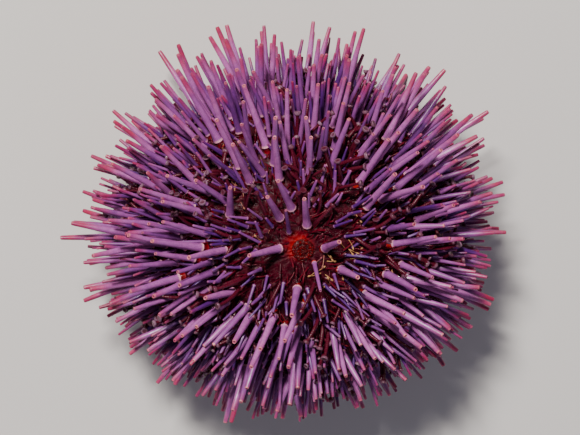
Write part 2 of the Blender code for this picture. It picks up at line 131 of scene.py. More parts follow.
# Columns of spines in a sector: place across its half width, size, first and last part of the way down,
# distance between rows and how far along that distance the first one starts
COLUMNS = {
    "interambulacrum": (
        (-0.42, "primary", 0.12, 1.00, 0.0042, 0.25),
        (0.42, "primary", 0.12, 1.00, 0.0042, 0.75),
        (0.02, "second", 0.14, 0.92, 0.0041, 0.50),
        (-0.80, "second", 0.18, 0.88, 0.0041, 0.10),
        (0.80, "second", 0.18, 0.88, 0.0041, 0.60),
    ),
    "ambulacrum": (
        (-0.38, "primary", 0.14, 1.00, 0.0042, 0.60),
        (0.38, "primary", 0.14, 1.00, 0.0042, 0.10),
        (-0.80, "fine", 0.24, 0.88, 0.0044, 0.30),
        (0.80, "fine", 0.24, 0.88, 0.0044, 0.80),
        (0.00, "fine", 0.28, 0.86, 0.0046, 0.50),
    ),
}
AMBULACRAL_SIZE = 0.88

# Spines that stand between the columns wherever there is room: size, how many draws are made, and the first
# and last part of the way down
BETWEEN = ("between", 640, 0.20, 0.80)

# The spines round the pole, as the specimen holds them: turn and distance from the pole, lean from
# upright, the way it leans, length, and size
CROWN_SPINES = (
    (127, 0.0076, 40, 120, 0.0120, "primary"),
    (80, 0.0053, 42, 102, 0.0120, "primary"),
    (172, 0.0036, 44, 180, 0.0115, "primary"),
    (3, 0.0044, 20, 60, 0.0118, "primary"),
    (-31, 0.0091, 12, 8, 0.0118, "primary"),
    (-97, 0.0078, 24, -121, 0.0120, "primary"),
    (-41, 0.0161, 48, -20, 0.0125, "primary"),
    (-46, 0.0216, 68, -35, 0.0135, "primary"),
    (-50, 0.0036, 24, -87, 0.0110, "fine"),
    (126, 0.0048, 40, 104, 0.0105, "fine"),
    (101, 0.0094, 46, 117, 0.0125, "primary"),
    (153, 0.0168, 42, 95, 0.0120, "primary"),
    (-147, 0.0170, 38, 175, 0.0120, "primary"),
    (-121, 0.0186, 30, -140, 0.0120, "primary"),
    (-87, 0.0123, 42, -128, 0.0125, "primary"),
)

# How far each may be moved to clear the parting cuts, and the arm that makes a distance of a turn
CROWN_NUDGES = (-0.0008, -0.0004, 0, 0.0004, 0.0008)
CROWN_NUDGE_ARM = 0.012

# Small spines that stand between the larger ones, in the order they are placed: how many are tried, radius
# at the root and at the tip, shortest and longest, first and last part of the way down, how far they are
# laid outwards, spread of the lean, and the room kept round each
Growth = namedtuple("Growth", "count root tip shortest longest first last laid spread room")
SMALL_SPINES = {
    "mane": Growth(480, 0.00050, 0.00030, 0.0068, 0.0112, 0.34, 0.80, 0.0, math.radians(9), 0.00015),
    "small": Growth(800, 0.00038, 0.00024, 0.0042, 0.0074, 0.07, 1.0, 0.5, math.radians(20), 0.00010),
    "hair": Growth(700, 0.00023, 0.00014, 0.0020, 0.0040, 0.22, 1.0, 0.4, math.radians(22), 0.00008),
}

# How a small spine's length runs from the pole to the mouth, how its thickness is drawn, and how many places
# are tried for each
GROWN_DOWN = ((0, 0.15, 0.6, 0.85, 1), (0.85, 1.0, 1.0, 0.7, 0.5))
GIRTH_DRAW = (0.82, 1.12)
SMALL_TRIES = 5

# The most larger spines that there is room for in the thicket's arrays
LARGER_AT_MOST = 1000

# Sizes that follow
AMBITUS_LEVEL = ORAL_LIFT + ORAL_DEPTH
POLE_LEVEL = AMBITUS_LEVEL + CROWN_HEIGHT
PITCH = 2 * math.pi / SECTOR_COUNT
OUTLINE_SAMPLES = 721
DISC = "apical_disc"

# The picture's frame
PICTURE_WIDTH = 580
PICTURE_HEIGHT = 435
POLE_PIXEL = (303, 250)
PIXELS_PER_METRE = 4600
VIEW_DIRECTION = (-0.105, 0.174, 0.979)
VIEW_DISTANCE = 0.6
SENSOR_WIDTH = 36

Spine = namedtuple("Spine", "node root axis length root_radius tip_radius")
Home = namedtuple("Home", "node kind middle half")
Master = namedtuple("Master", "points sizes corners spots")
Curl = namedtuple("Curl", "bend lean tries fan")


def pole_place():
    """Where the frame has the pole's axis: the layout is round it, and the frame's origin isn't on it."""
    low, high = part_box("peristome")
    return Vector(((low.x + high.x) / 2, (low.y + high.y) / 2, 0))


POLE = pole_place()


# Layout of the test and its larger spines


def outline_point(turn):
    """Radius and height of the outline: a quarter turn up is the pole, a quarter turn down the mouth."""
    above = turn >= 0
    power = 2 / (CROWN_ROUNDNESS if above else ORAL_ROUNDNESS)
    rise = CROWN_HEIGHT if above else -ORAL_DEPTH
    radius = TEST_RADIUS * max(math.cos(turn), 0) ** power
    return radius, AMBITUS_LEVEL + rise * abs(math.sin(turn)) ** power


def outline_run():
    """Points down the outline from the pole, and how far along it each lies."""
    turns = np.linspace(math.pi / 2, -math.pi / 2, OUTLINE_SAMPLES)
    points = np.array([outline_point(turn) for turn in turns])
    steps = np.hypot(*np.diff(points, axis=0).T)
    return points, np.concatenate([[0], np.cumsum(steps)])


RUN_POINTS, RUN = outline_run()
UPPER = RUN_POINTS[:, 1] >= AMBITUS_LEVEL


def surface_point(way, turn):
    """A point of the test, a distance down from the pole and a turn round it."""
    radius = np.interp(way, RUN, RUN_POINTS[:, 0])
    height = np.interp(way, RUN, RUN_POINTS[:, 1])
    across = radius * math.cos(turn) * TEST_STRETCH
    return Vector((across, radius * math.sin(turn) / TEST_STRETCH, height))


def outward(point):
    """The way straight out of the test at a point of it."""
    above = point.z >= AMBITUS_LEVEL
    roundness = CROWN_ROUNDNESS if above else ORAL_ROUNDNESS
    rise = CROWN_HEIGHT if above else ORAL_DEPTH
    x, y = point.x / TEST_STRETCH, point.y * TEST_STRETCH
    part = max(math.hypot(x, y) / TEST_RADIUS, 1e-6)
    level = (point.z - AMBITUS_LEVEL) / rise
    pull = part ** (roundness - 2) / TEST_RADIUS**2
    lift = math.copysign(abs(level) ** (roundness - 1), level) / rise
    return Vector((x / TEST_STRETCH * pull, y * TEST_STRETCH * pull, lift)).normalized()


def within_test(points, swell):
    """Which points lie inside the test made bigger all round by a distance."""
    level = points[:, 2] - AMBITUS_LEVEL
    above = level >= 0
    rise = np.where(above, CROWN_HEIGHT, ORAL_DEPTH) + swell
    roundness = np.where(above, CROWN_ROUNDNESS, ORAL_ROUNDNESS)
    spread = np.hypot(points[:, 0] / TEST_STRETCH, points[:, 1] * TEST_STRETCH)
    return (spread / (TEST_RADIUS + swell)) ** roundness + (np.abs(level) / rise) ** roundness < 1


def homes():
    """Each sector of the test: the node's name, its kind, its middle and half its span."""
    found = []
    half = AMBULACRUM_SPAN / 2
    for index in range(SECTOR_COUNT):
        middle = FIRST_AMBULACRUM + index * PITCH
        between = middle + PITCH / 2
        found.append(Home(f"ambulacrum_{index + 1}", "ambulacrum", middle, half))
        found.append(Home(f"interambulacrum_{index + 1}", "interambulacrum", between, PITCH / 2 - half))
    return found


def from_middle(home, turn):
    """A turn measured from the middle of a sector, the short way round."""
    return (turn - home.middle + math.pi) % (2 * math.pi) - math.pi


def spine_ring(spine, way, radius, sides):
    """Points round a spine, a distance along it from its root."""
    across = spine.axis.orthogonal().normalized()
    other = spine.axis.cross(across)
    middle = spine.root + spine.axis * way
    turns = [2 * math.pi * side / sides for side in range(sides)]
    return [middle + (across * math.cos(turn) + other * math.sin(turn)) * radius for turn in turns]


def keeps_home(spine, home):
    """Whether the foot of a spine stays clear of the parts beside its own."""
    height, count, sides = FOOT_CHECK
    ways = np.linspace(-ROOT_DEPTH, height, count)
    rings = [spine_ring(spine, way, spine.root_radius, sides) for way in ways]
    points = np.array([point for ring in rings for point in ring])
    points = points[within_test(points, GAP)]
    spread = np.hypot(points[:, 0], points[:, 1])
    if home is None:
        fits = spread < APICAL_RADIUS - GAP / 2
        return bool(np.all(fits & (spread > PERIPROCT_RADIUS + GAP / 2)))
    turns = np.abs(from_middle(home, np.arctan2(points[:, 1], points[:, 0])))
    inner = np.where(points[:, 2] > AMBITUS_LEVEL, APICAL_RADIUS, PERISTOME_RADIUS)
    in_span = spread * np.sin(home.half - turns) > GAP / 2
    return bool(np.all(in_span & (spread > inner + GAP / 2)))


class Thicket:
    """The spines placed so far, kept as arrays too, so that room for one more is found at once."""

    def __init__(self, capacity):
        self.spines = []
        self.starts = np.zeros((capacity, 3))
        self.runs = np.zeros((capacity, 3))
        self.roots = np.zeros(capacity)
        self.tips = np.zeros(capacity)

    def add(self, spine):
        index = len(self.spines)
        self.starts[index] = spine.root
        self.runs[index] = spine.axis * spine.length
        self.roots[index] = spine.root_radius
        self.tips[index] = spine.tip_radius
        self.spines.append(spine)

    def has_room(self, spine, gap):
        """Whether a spine passes every other one with the gap between."""
        count = len(self.spines)
        if not count:
            return True
        runs = self.runs[:count]
        start = np.array(spine.root)
        run = np.array(spine.axis) * spine.length
        between = start - self.starts[:count]
        own, theirs, both = run @ run, (runs * runs).sum(1), runs @ run
        along, beside = between @ run, (between * runs).sum(1)
        spread = np.maximum(own * theirs - both * both, 1e-18)
        here = np.clip((both * beside - theirs * along) / spread, 0, 1)
        there = np.clip((both * here + beside) / theirs, 0, 1)
        here = np.clip((both * there - along) / own, 0, 1)
        apart = np.linalg.norm(between + here[:, None] * run - there[:, None] * runs, axis=1)
        roots, tips = self.roots[:count], self.tips[:count]
        thick = roots + (tips - roots) * there
        thick = thick + spine.root_radius + (spine.tip_radius - spine.root_radius) * here
        return bool(np.all(apart > thick + gap))


def leant(tilt):
    """How far from upright a spine stands where the test slopes by a tilt: outwards, most off the pole."""
    part = tilt / (math.pi / 2)
    if part < 1:
        return tilt + CROWN_LEAN * math.sin(math.pi * part**CROWN_LEAN_RISE)
    return tilt + ORAL_LEAN * math.sin(2 * tilt)


def spine_axis(point, chance, spread):
    """Which way a spine points: out of the test, leant outwards and combed, with a draw of its own."""
    straight = outward(point)
    flat = Vector((straight.x, straight.y, 0))
    flat = flat.normalized() if flat.length > 1e-6 else Vector((1, 0, 0))
    tilt = leant(math.acos(max(-1, min(1, straight.z))))
    axis = flat * math.sin(tilt) + Vector((0, 0, math.cos(tilt)))
    combed = COMBED_BY * max(axis.z, 0) ** 0.5
    axis += Vector((math.cos(COMBED_TOWARDS), math.sin(COMBED_TOWARDS), 0)) * combed
    side = axis.orthogonal().normalized()
    axis += side * chance.gauss(0, spread) + axis.cross(side) * chance.gauss(0, spread)
    return axis.normalized()


def spine_length(point, size, part, chance):
    """Length by size, by how far down the test it stands, and longer on the side it is combed towards."""
    facing = math.cos(math.atan2(point.y, point.x) - LONGEST_TOWARDS)
    swing = 1 + LENGTH_SWING * facing * np.interp(part, *SWING_DOWN)
    least, spread, most = LENGTH_SPREAD
    own = 1 + max(least, min(most, chance.gauss(0, spread)))
    return SIZES[size][2] * np.interp(part, *LENGTH_DOWN) * swing * own


def settled(spine):
    """The spine as the floor lets it stand: ended flat on it, or lifted clear of it."""
    if spine.axis.z >= 0:
        return spine
    to_floor = spine.root.z / -spine.axis.z
    if spine.axis.z < STANDING_SLOPE and to_floor < spine.length * STANDING_REACH:
        return spine._replace(length=to_floor)
    lowest = spine.tip_radius + 2 * GAP
    if spine.root.z + spine.axis.z * spine.length >= lowest:
        return spine
    drop = (spine.root.z - lowest) / spine.length
    flat = Vector((spine.axis.x, spine.axis.y, 0)).normalized() * math.sqrt(1 - drop * drop)
    return spine._replace(axis=flat - Vector((0, 0, drop)))


def way_down(spread, crown=True):
    """How far down the outline from the pole it is at a radius, above the ambitus or below it."""
    if crown:
        return np.interp(spread, RUN_POINTS[UPPER, 0], RUN[UPPER])
    return np.interp(-spread, -RUN_POINTS[~UPPER, 0], RUN[~UPPER])


def crown_spines(thicket):
    """The measured spines round the pole, each nudged the least that keeps it clear of the parting cuts."""
    nudges = [(turn, out) for turn in np.radians(np.arange(-14, 15, 2)) for out in CROWN_NUDGES]
    nudges.sort(key=lambda nudge: math.hypot(nudge[0] * CROWN_NUDGE_ARM, nudge[1]))
    for turn, spread, lean, heading, length, size in CROWN_SPINES:
        lean, heading = math.radians(lean), math.radians(heading)
        flat = Vector((math.cos(heading), math.sin(heading), 0))
        axis = Vector((math.sin(lean) * flat.x, math.sin(lean) * flat.y, math.cos(lean)))
        for more_turn, more_spread in nudges:
            place = math.radians(turn) + more_turn
            root = surface_point(way_down(spread + more_spread), place)
            home = None
            if spread > APICAL_RADIUS:
                home = min(homes(), key=lambda item: abs(from_middle(item, place)) - item.half)
            spine = Spine(home.node if home else DISC, root, axis, length, *SIZES[size][:2])
            if keeps_home(spine, home) and thicket.has_room(spine, SPINE_GAP):
                thicket.add(spine)
                break


def column_spines(home, column, thicket, chance):
    """One column of spines down a sector, each tried with less and less spread until it clears the rest."""
    across, size, first, last, distance, start = column
    thick, thin, _ = SIZES[size]
    scale = AMBULACRAL_SIZE if home.kind == "ambulacrum" else 1
    low, high = way_down(APICAL_RADIUS), way_down(PERISTOME_RADIUS, crown=False)
    way = low + (high - low) * first + distance * start + thick
    while way < low + (high - low) * last - thick:
        part = (way - low) / (high - low)
        for attempt in range(TRIES):
            turn = home.middle + home.half * (across + chance.uniform(-ROOT_SHIFT_ROUND, ROOT_SHIFT_ROUND))
            point = surface_point(way + chance.uniform(-ROOT_SHIFT_DOWN, ROOT_SHIFT_DOWN) * distance, turn)
            spread = LEAN_SPREAD * (1 - attempt / TRIES)
            shorter = 1 if attempt < TRIES // 2 else SHORTENED
            length = spine_length(point, size, part, chance) * scale * shorter
            axis = spine_axis(point, chance, spread)
            spine = settled(Spine(home.node, point, axis, length, thick * scale, thin * scale))
            if keeps_home(spine, home) and thicket.has_room(spine, SPINE_GAP):
                thicket.add(spine)
                break
        way += distance * np.interp(part, *ROWS_DOWN)


def random_way(chance, first, last):
    """A way down the test, drawn so that every part of its surface is as likely."""
    spreads = (RUN_POINTS[1:, 0] + RUN_POINTS[:-1, 0]) / 2
    areas = np.concatenate([[0], np.cumsum(spreads * np.diff(RUN))])
    low, high = np.interp((first, last), RUN, areas)
    return float(np.interp(chance.uniform(low, high), areas, RUN))


def between_spines(thicket, chance):
    """Spines at random places of the test, kept where they clear the rest."""
    size, draws, first, last = BETWEEN
    thick, thin, _ = SIZES[size]
    low, high = way_down(APICAL_RADIUS), way_down(PERISTOME_RADIUS, crown=False)
    for _ in range(draws):
        way = random_way(chance, low + (high - low) * first, low + (high - low) * last)
        turn = chance.uniform(-math.pi, math.pi)
        home = min(homes(), key=lambda item: abs(from_middle(item, turn)) - item.half)
        point = surface_point(way, turn)
        length = spine_length(point, size, (way - low) / (high - low), chance)
        spine = settled(Spine(home.node, point, spine_axis(point, chance, LEAN_SPREAD), length, thick, thin))
        if keeps_home(spine, home) and thicket.has_room(spine, SPINE_GAP):
            thicket.add(spine)


def larger_spines(capacity):
    """The spines that the solids have too, in the same order and from the same draws."""
    chance = random.Random(SEED)
    thicket = Thicket(capacity)
    crown_spines(thicket)
    for size in SIZES:
        for home in homes():
            for column in COLUMNS[home.kind]:
                if column[1] == size:
                    column_spines(home, column, thicket, chance)
    between_spines(thicket, chance)
    return thicket


# Layout of what the solids leave out


def small_spine(kind, chance):
    """One small spine at a random place of the test."""
    growth = SMALL_SPINES[kind]
    low = way_down(PERIPROCT_RADIUS + growth.root)
    high = way_down(PERISTOME_RADIUS + growth.root, crown=False)
    way = random_way(chance, low + (high - low) * growth.first, low + (high - low) * growth.last)
    point = surface_point(way, chance.uniform(-math.pi, math.pi))
    grown = np.interp((way - low) / (high - low), *GROWN_DOWN)
    length = chance.uniform(growth.shortest, growth.longest) * grown
    girth = chance.uniform(*GIRTH_DRAW)
    axis = spine_axis(point, chance, growth.spread)
    axis = (axis + downhill(outward(point)) * growth.laid * max(axis.z, 0)).normalized()
    return settled(Spine(kind, point, axis, length, growth.root * girth, growth.tip * girth))


def downhill(straight):
    """The way down the test's slope, where straight is the way out of it."""
    flat = Vector((straight.x, straight.y, 0))
    slope = flat - straight * flat.dot(straight)
    return slope.normalized() if slope.length > 1e-6 else straight.orthogonal().normalized()


def every_spine():
    """The larger spines and the small ones that find room between them."""
    capacity = LARGER_AT_MOST + sum(growth.count for growth in SMALL_SPINES.values())
    thicket = larger_spines(capacity)
    chance = random.Random(SEED + 1)
    for kind, growth in SMALL_SPINES.items():
        for _ in range(growth.count):
            for _ in range(SMALL_TRIES):
                spine = small_spine(kind, chance)
                if thicket.has_room(spine, growth.room):
                    thicket.add(spine)
                    break
    return thicket


THICKET = every_spine()
LARGER = [spine for spine in THICKET.spines if spine.node not in SMALL_SPINES]


# Settings


def srgb(red, green, blue):
    """A colour as it looks on a screen, as the plain light values that a shader works with."""
    parts = (red, green, blue)
    light = [part / 12.92 if part <= 0.04045 else ((part + 0.055) / 1.055) ** 2.4 for part in parts]
    return (*light, 1.0)


def length_setting(name, description, default):
    return bpy.props.FloatProperty(
        name=name, description=description, default=default, min=0, precision=5, unit="LENGTH"
    )


def count_setting(name, description, default):
    return bpy.props.IntProperty(name=name, description=description, default=default, min=0)


def power_setting(name, description, default):
    return bpy.props.FloatProperty(name=name, description=description, default=default, unit="POWER")


def colour_setting(name, description, default):
    return bpy.props.FloatVectorProperty(
        name=name, description=description, default=default, size=4, min=0, max=1, subtype="COLOR"
    )


class SkinSettings(bpy.types.PropertyGroup):
    """Sizes and colours of the skin over the test."""

    fold_height: length_setting("Fold height", "How high the folds of the skin stand", 0.00045)
    fold_width: length_setting("Fold width", "Distance from one fold to the next", 0.0016)
    ring_height: length_setting("Ring height", "Height of the rings round each spine's root", 0.00016)
    boss_height: length_setting("Boss height", "Height of the boss under each spine", 0.0004)
    # Painted shade and highlight: the valley colour darkens the skin between its folds, and the crest colour
    # lightens the tops of the folds
    shaded_valley: colour_setting("Valleys", "Colour between the folds", srgb(0.06, 0.0, 0.02))
    flesh: colour_setting("Flesh", "Colour of the folds", srgb(0.24, 0.0, 0.07))
    lit_crest: colour_setting("Crests", "Colour along the tops of the folds", srgb(0.33, 0.02, 0.12))
    # Painted light: the red tissue beside the pole is painted brighter, as where light shines through it
    glow: colour_setting("Red places", "Colour of the red places round the pole", srgb(0.72, 0.02, 0.02))


class SpineSettings(bpy.types.PropertyGroup):
    """Sizes and colours of the spines."""

    collar_way: length_setting("Collar height", "How far from the test the collar sits", 0.0012)
    ribs: count_setting("Ribs", "Fine ribs round a shaft", 14)
    # Painted light and shade: the lit lavender stands for the lit side of the spines and the deep blue
    # violet for their shaded side
    shaft: colour_setting("Shaft", "Lit lavender of the large shafts", srgb(0.75, 0.42, 0.69))
    shaded_and_patch_violet: colour_setting("Deep shaft", "Blue violet of the thin shafts", srgb(0.30, 0.09, 0.41))
    collar: colour_setting("Collar", "Pale ring at the foot of a spine", srgb(0.95, 0.66, 0.70))
    red: colour_setting("Red end", "Red of the outer part of a spine", srgb(0.69, 0.09, 0.21))
    rim: colour_setting("Tip rim", "Pale rim of the blunt tip", srgb(0.96, 0.56, 0.52))
    core: colour_setting("Tip core", "Dark red middle of the blunt tip", srgb(0.50, 0.05, 0.10))
    muscle: colour_setting("Muscle", "Red muscle under the collar", srgb(0.30, 0.0, 0.03))
    # Painted light: the orange red of a muscle as it looks where light falls on it
    bright: colour_setting("Bright muscle", "Orange red of the brightest muscles", srgb(0.98, 0.25, 0.14))


class SoftSettings(bpy.types.PropertyGroup):
    """Sizes and colours of the tube feet, filaments and pincers."""

    stalk: length_setting("Stalk radius", "Radius of a tube foot's stalk", 0.00044)
    shortest: length_setting("Shortest foot", "Length of the shortest tube foot", 0.0040)
    longest: length_setting("Longest foot", "Length of the longest tube foot", 0.0088)
    filaments: count_setting("Filaments", "Fine curled filaments over the skin", 3400)
    pincers: count_setting("Pincers", "Small stalked pincers over the skin", 260)
    stalk_colour: colour_setting("Stalk", "Colour of the stalks", srgb(0.30, 0.01, 0.10))
    disc_colour: colour_setting("Disc", "Colour of the sucker discs", srgb(0.55, 0.41, 0.50))
    sucker: colour_setting("Sucker", "Colour of the sucker's dark middle", srgb(0.26, 0.03, 0.10))
    gold: colour_setting("Gold", "Colour of the pale curls near the pole", srgb(0.80, 0.62, 0.36))


class StageSettings(bpy.types.PropertyGroup):
    """Floor and light."""

    floor: colour_setting("Floor", "Colour of the floor", srgb(0.86, 0.85, 0.83))
    key: power_setting("Key light", "Power of the key light", 20)
    fill: power_setting("Fill light", "Power of the fill light", 2.0)


SETTINGS = {
    "urchin_skin": SkinSettings,
    "urchin_spines": SpineSettings,
    "urchin_soft": SoftSettings,
    "urchin_stage": StageSettings,
}


# Modelling by hand


def deselect():
    if bpy.context.mode != "OBJECT":
        bpy.ops.object.mode_set(mode="OBJECT")
    bpy.ops.object.select_all(action="DESELECT")


def choose(obj):
    """Makes one object the only selected one, and the active one."""
    deselect()
    obj.select_set(True)
    bpy.context.view_layer.objects.active = obj


def drawn_out(name, sides, stations):
    """A round form drawn out from a circle ring by ring: a height and a radius for each."""
    deselect()
    height, radius = stations[0]
    place = (0, 0, height)
    bpy.ops.mesh.primitive_circle_add(vertices=sides, radius=radius, fill_type="NGON", location=place)
    made = bpy.context.object
    made.name = name
    bpy.ops.object.transform_apply(location=True, rotation=True, scale=True)
    bpy.ops.object.mode_set(mode="EDIT")
    bpy.ops.mesh.select_all(action="SELECT")
    for next_height, next_radius in stations[1:]:
        step = {"value": (0, 0, next_height - height)}
        bpy.ops.mesh.extrude_region_move(TRANSFORM_OT_translate=step)
        grow = next_radius / radius
        bpy.ops.transform.resize(value=(grow, grow, 1), center_override=(0, 0, next_height))
        height, radius = next_height, next_radius
    bpy.ops.mesh.select_all(action="SELECT")
    bpy.ops.mesh.normals_make_consistent(inside=False)
    bpy.ops.object.mode_set(mode="OBJECT")
    return made


def finish_with(obj, kind, **settings):
    """Adds a modifier and applies it."""
    choose(obj)
    modifier = obj.modifiers.new(kind.lower(), kind)
    for title, value in settings.items():
        setattr(modifier, title, value)
    bpy.ops.object.modifier_apply(modifier=modifier.name)


def rounded(obj, levels):
    finish_with(obj, "SUBSURF", levels=levels, render_levels=levels)


def coordinates(obj):
    places = np.zeros(len(obj.data.vertices) * 3)
    obj.data.vertices.foreach_get("co", places)
    return places.reshape(-1, 3)


def set_coordinates(obj, places):
    obj.data.vertices.foreach_set("co", np.ascontiguousarray(places, dtype=np.float64).ravel())
    obj.data.update()


# Where a master's wrap lies on its map: the part round the shaft, and the caps in a strip beside it
WRAP_WIDTH = 0.88
CAP_PLACE = 0.94
CAP_SIZE = 0.05
CAP_LEVELS = (0.25, 0.75)

# The unwrap of the test: how far it reaches from its middle, and each root's patch on it, by its share of
# the way to the next root and by the least and the most
UNWRAP_REACH = 0.48
PATCH_SHARE = 0.7
PATCH_SIZES = (0.001, 0.02)

# Nothing that grows from the skin comes nearer to the floor
FLOOR_CLEARANCE = 0.00002


def wrapped_face(points, face, turn_start):
    """Where a face's corners fall on the master's wrap: round it and along it, or on a cap."""
    corners = points[list(face.vertices)]
    length = points[:, 2].max() - points[:, 2].min()
    if np.ptp(corners[:, 2]) < 1e-9:
        reach = np.hypot(corners[:, 0], corners[:, 1]).max()
        middle = CAP_LEVELS[int(corners[0, 2] >= points[:, 2].mean())]
        return [(CAP_PLACE + CAP_SIZE * x / reach, middle + CAP_SIZE * y / reach) for x, y, _ in corners]
    turns = np.arctan2(corners[:, 1], corners[:, 0]) - turn_start
    middle = math.atan2(face.center.y, face.center.x) - turn_start
    turns = middle + (turns - middle + math.pi) % (2 * math.pi) - math.pi
    around = (turns - 2 * math.pi * math.floor(middle / (2 * math.pi))) / (2 * math.pi)
    along = (corners[:, 2] - points[:, 2].min()) / length
    return [(WRAP_WIDTH * part, way) for part, way in zip(around, along)]


def master_of(obj):
    """What planted() needs of a form made by hand, which is then taken away."""
    points = coordinates(obj)
    faces = obj.data.polygons
    sizes = np.array([len(face.vertices) for face in faces])
    corners = np.concatenate([list(face.vertices) for face in faces])
    turn_start = math.pi / 2
    spots = np.array([spot for face in faces for spot in wrapped_face(points, face, turn_start)])
    bpy.data.objects.remove(obj)
    return Master(points, sizes, corners, spots)


def mesh_of(name, points, sizes, corners, maps, values):
    """A mesh from arrays, with its UV maps and its numbers on each point."""
    mesh = bpy.data.meshes.new(name)
    mesh.vertices.add(len(points))
    mesh.vertices.foreach_set("co", np.ascontiguousarray(points, dtype=np.float64).ravel())
    mesh.loops.add(len(corners))
    mesh.loops.foreach_set("vertex_index", corners.astype(np.int32))
    mesh.polygons.add(len(sizes))
    mesh.polygons.foreach_set("loop_start", (np.cumsum(sizes) - sizes).astype(np.int32))
    mesh.update(calc_edges=True)
    for title, spots in maps.items():
        mesh.uv_layers.new(name=title).data.foreach_set("uv", spots.astype(np.float32).ravel())
    for title, numbers in values.items():
        made = mesh.attributes.new(title, "FLOAT", "POINT")
        made.data.foreach_set("value", numbers.astype(np.float32).ravel())
    mesh.validate()
    return mesh


def unit(vectors):
    return vectors / np.maximum(np.linalg.norm(vectors, axis=-1, keepdims=True), 1e-12)


def on_unwrap(points):
    """Where points of the test fall on its unwrap: round the pole, as far out as they lie down from it."""
    spread = np.hypot(points[:, 0] / TEST_STRETCH, points[:, 1] * TEST_STRETCH)
    crown = np.interp(spread, RUN_POINTS[UPPER, 0], RUN[UPPER])
    oral = np.interp(-spread, -RUN_POINTS[~UPPER, 0], RUN[~UPPER])
    reach = np.where(points[:, 2] >= AMBITUS_LEVEL, crown, oral) / RUN[-1] * UNWRAP_REACH
    turn = np.arctan2(points[:, 1], points[:, 0])
    return np.stack([0.5 + reach * np.cos(turn), 0.5 + reach * np.sin(turn)], 1)


def patch_sizes(places):
    """How big a patch each root can have on the unwrap before it meets the next one's."""
    tree = kdtree.KDTree(len(places))
    for index, place in enumerate(places):
        tree.insert((*place, 0), index)
    tree.balance()
    nearest = [tree.find_n((*place, 0), 2)[-1][2] for place in places]
    return np.clip(np.array(nearest) * PATCH_SHARE, *PATCH_SIZES)


def planted(name, master, strands, ways, girths):
    """Copies of a master along many strands, joined in one piece.

    A strand starts at its root along its axis and bends evenly towards its side; ways and girths say how
    far along and how thick each point of the master lies on each strand.
    """
    roots, axes = strands["root"], unit(strands["axis"])
    towards = strands["towards"] - axes * (strands["towards"] * axes).sum(1, keepdims=True)
    towards = unit(towards)
    beside = np.cross(axes, towards)
    bends = np.where(np.abs(strands["bend"]) < 1e-3, 1e-3, strands["bend"])[:, None]
    turns = bends * ways
    out, over = np.sin(turns) / bends, (1 - np.cos(turns)) / bends
    middles = roots[:, None] + axes[:, None] * out[..., None] + towards[:, None] * over[..., None]
    facing = towards[:, None] * np.cos(turns)[..., None] - axes[:, None] * np.sin(turns)[..., None]
    flat = master.points[None, :, :2] * girths[..., None]
    points = middles + facing * flat[..., :1] + beside[:, None] * flat[..., 1:]
    points[..., 2] = np.maximum(points[..., 2], FLOOR_CLEARANCE)
    count, size = points.shape[:2]
    corners = (master.corners[None] + np.arange(count)[:, None] * size).ravel()
    places = on_unwrap(roots)
    patches = patch_sizes(places)[:, None, None]
    bake = places[:, None] + (master.spots[None] - 0.5) * patches
    lie = np.tile(master.spots, (count, 1))
    values = {"along": np.tile(master.points[:, 2], count)}
    for title, numbers in strands["values"].items():
        values[title] = np.repeat(numbers, size)
    points = points.reshape(-1, 3) + np.array(POLE)
    maps = {"Lie": lie, "OFBake": bake}
    mesh = mesh_of(name, points, np.tile(master.sizes, count), corners, maps, values)
    made = bpy.data.objects.new(name, mesh)
    bpy.context.scene.collection.objects.link(made)
    return made


def finished(piece, material, slot, *nodes, sharp=50):
    """Gives a piece its material, its shading and its place on the frame."""
    choose(piece)
    bpy.ops.object.shade_smooth_by_angle(angle=math.radians(sharp))
    deselect()
    piece.data.materials.clear()
    piece.data.materials.append(material)
    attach(piece, "root")
    if nodes:
        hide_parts(*nodes)
    return piece


# Materials


def node(tree, kind, inputs=None, **settings):
    """A node with its settings and inputs: a socket is linked, and anything else is a value."""
    made = tree.nodes.new(kind)
    for title, value in settings.items():
        setattr(made, title, value)
    for title, value in (inputs or {}).items():
        if isinstance(value, bpy.types.NodeSocket):
            tree.links.new(value, made.inputs[title])
        else:
            made.inputs[title].default_value = value
    return made


def maths(tree, operation, first, second=0.0, clamp=False):
    inputs = {0: first, 1: second}
    return node(tree, "ShaderNodeMath", inputs, operation=operation, use_clamp=clamp).outputs[0]


def mixed(tree, factor, first, second, blend="MIX"):
    made = node(tree, "ShaderNodeMix", {0: factor, 6: first, 7: second}, data_type="RGBA", blend_type=blend)
    return made.outputs[2]


def ramp(tree, factor, stops, smooth=False):
    """A colour ramp: each stop is a place and a colour, and a colour may be one number."""
    made = node(tree, "ShaderNodeValToRGB", {0: factor})
    band = made.color_ramp
    band.interpolation = "EASE" if smooth else "LINEAR"
    while len(band.elements) < len(stops):
        band.elements.new(0.5)
    for element, (place, colour) in zip(band.elements, stops):
        element.position = place
        element.color = (colour,) * 3 + (1,) if isinstance(colour, (int, float)) else colour
    return made.outputs[0]


def noisy(tree, place, scale, detail=2.0, roughness=0.5, twist=0.0):
    inputs = {"Vector": place, "Scale": scale, "Detail": detail, "Roughness": roughness, "Distortion": twist}
    return node(tree, "ShaderNodeTexNoise", inputs).outputs[0]


def number(tree, title):
    return node(tree, "ShaderNodeAttribute", attribute_name=title).outputs["Fac"]


def place_on(tree):
    return node(tree, "ShaderNodeTexCoord").outputs["Object"]


def new_material(name, **values):
    """A material with its Principled shader, whose plain values are set on its own sockets."""
    made = bpy.data.materials.new(name)
    made.use_nodes = True
    shader = made.node_tree.nodes["Principled BSDF"]
    for title, value in values.items():
        shader.inputs[title.replace("_", " ")].default_value = value
    return made, made.node_tree, shader


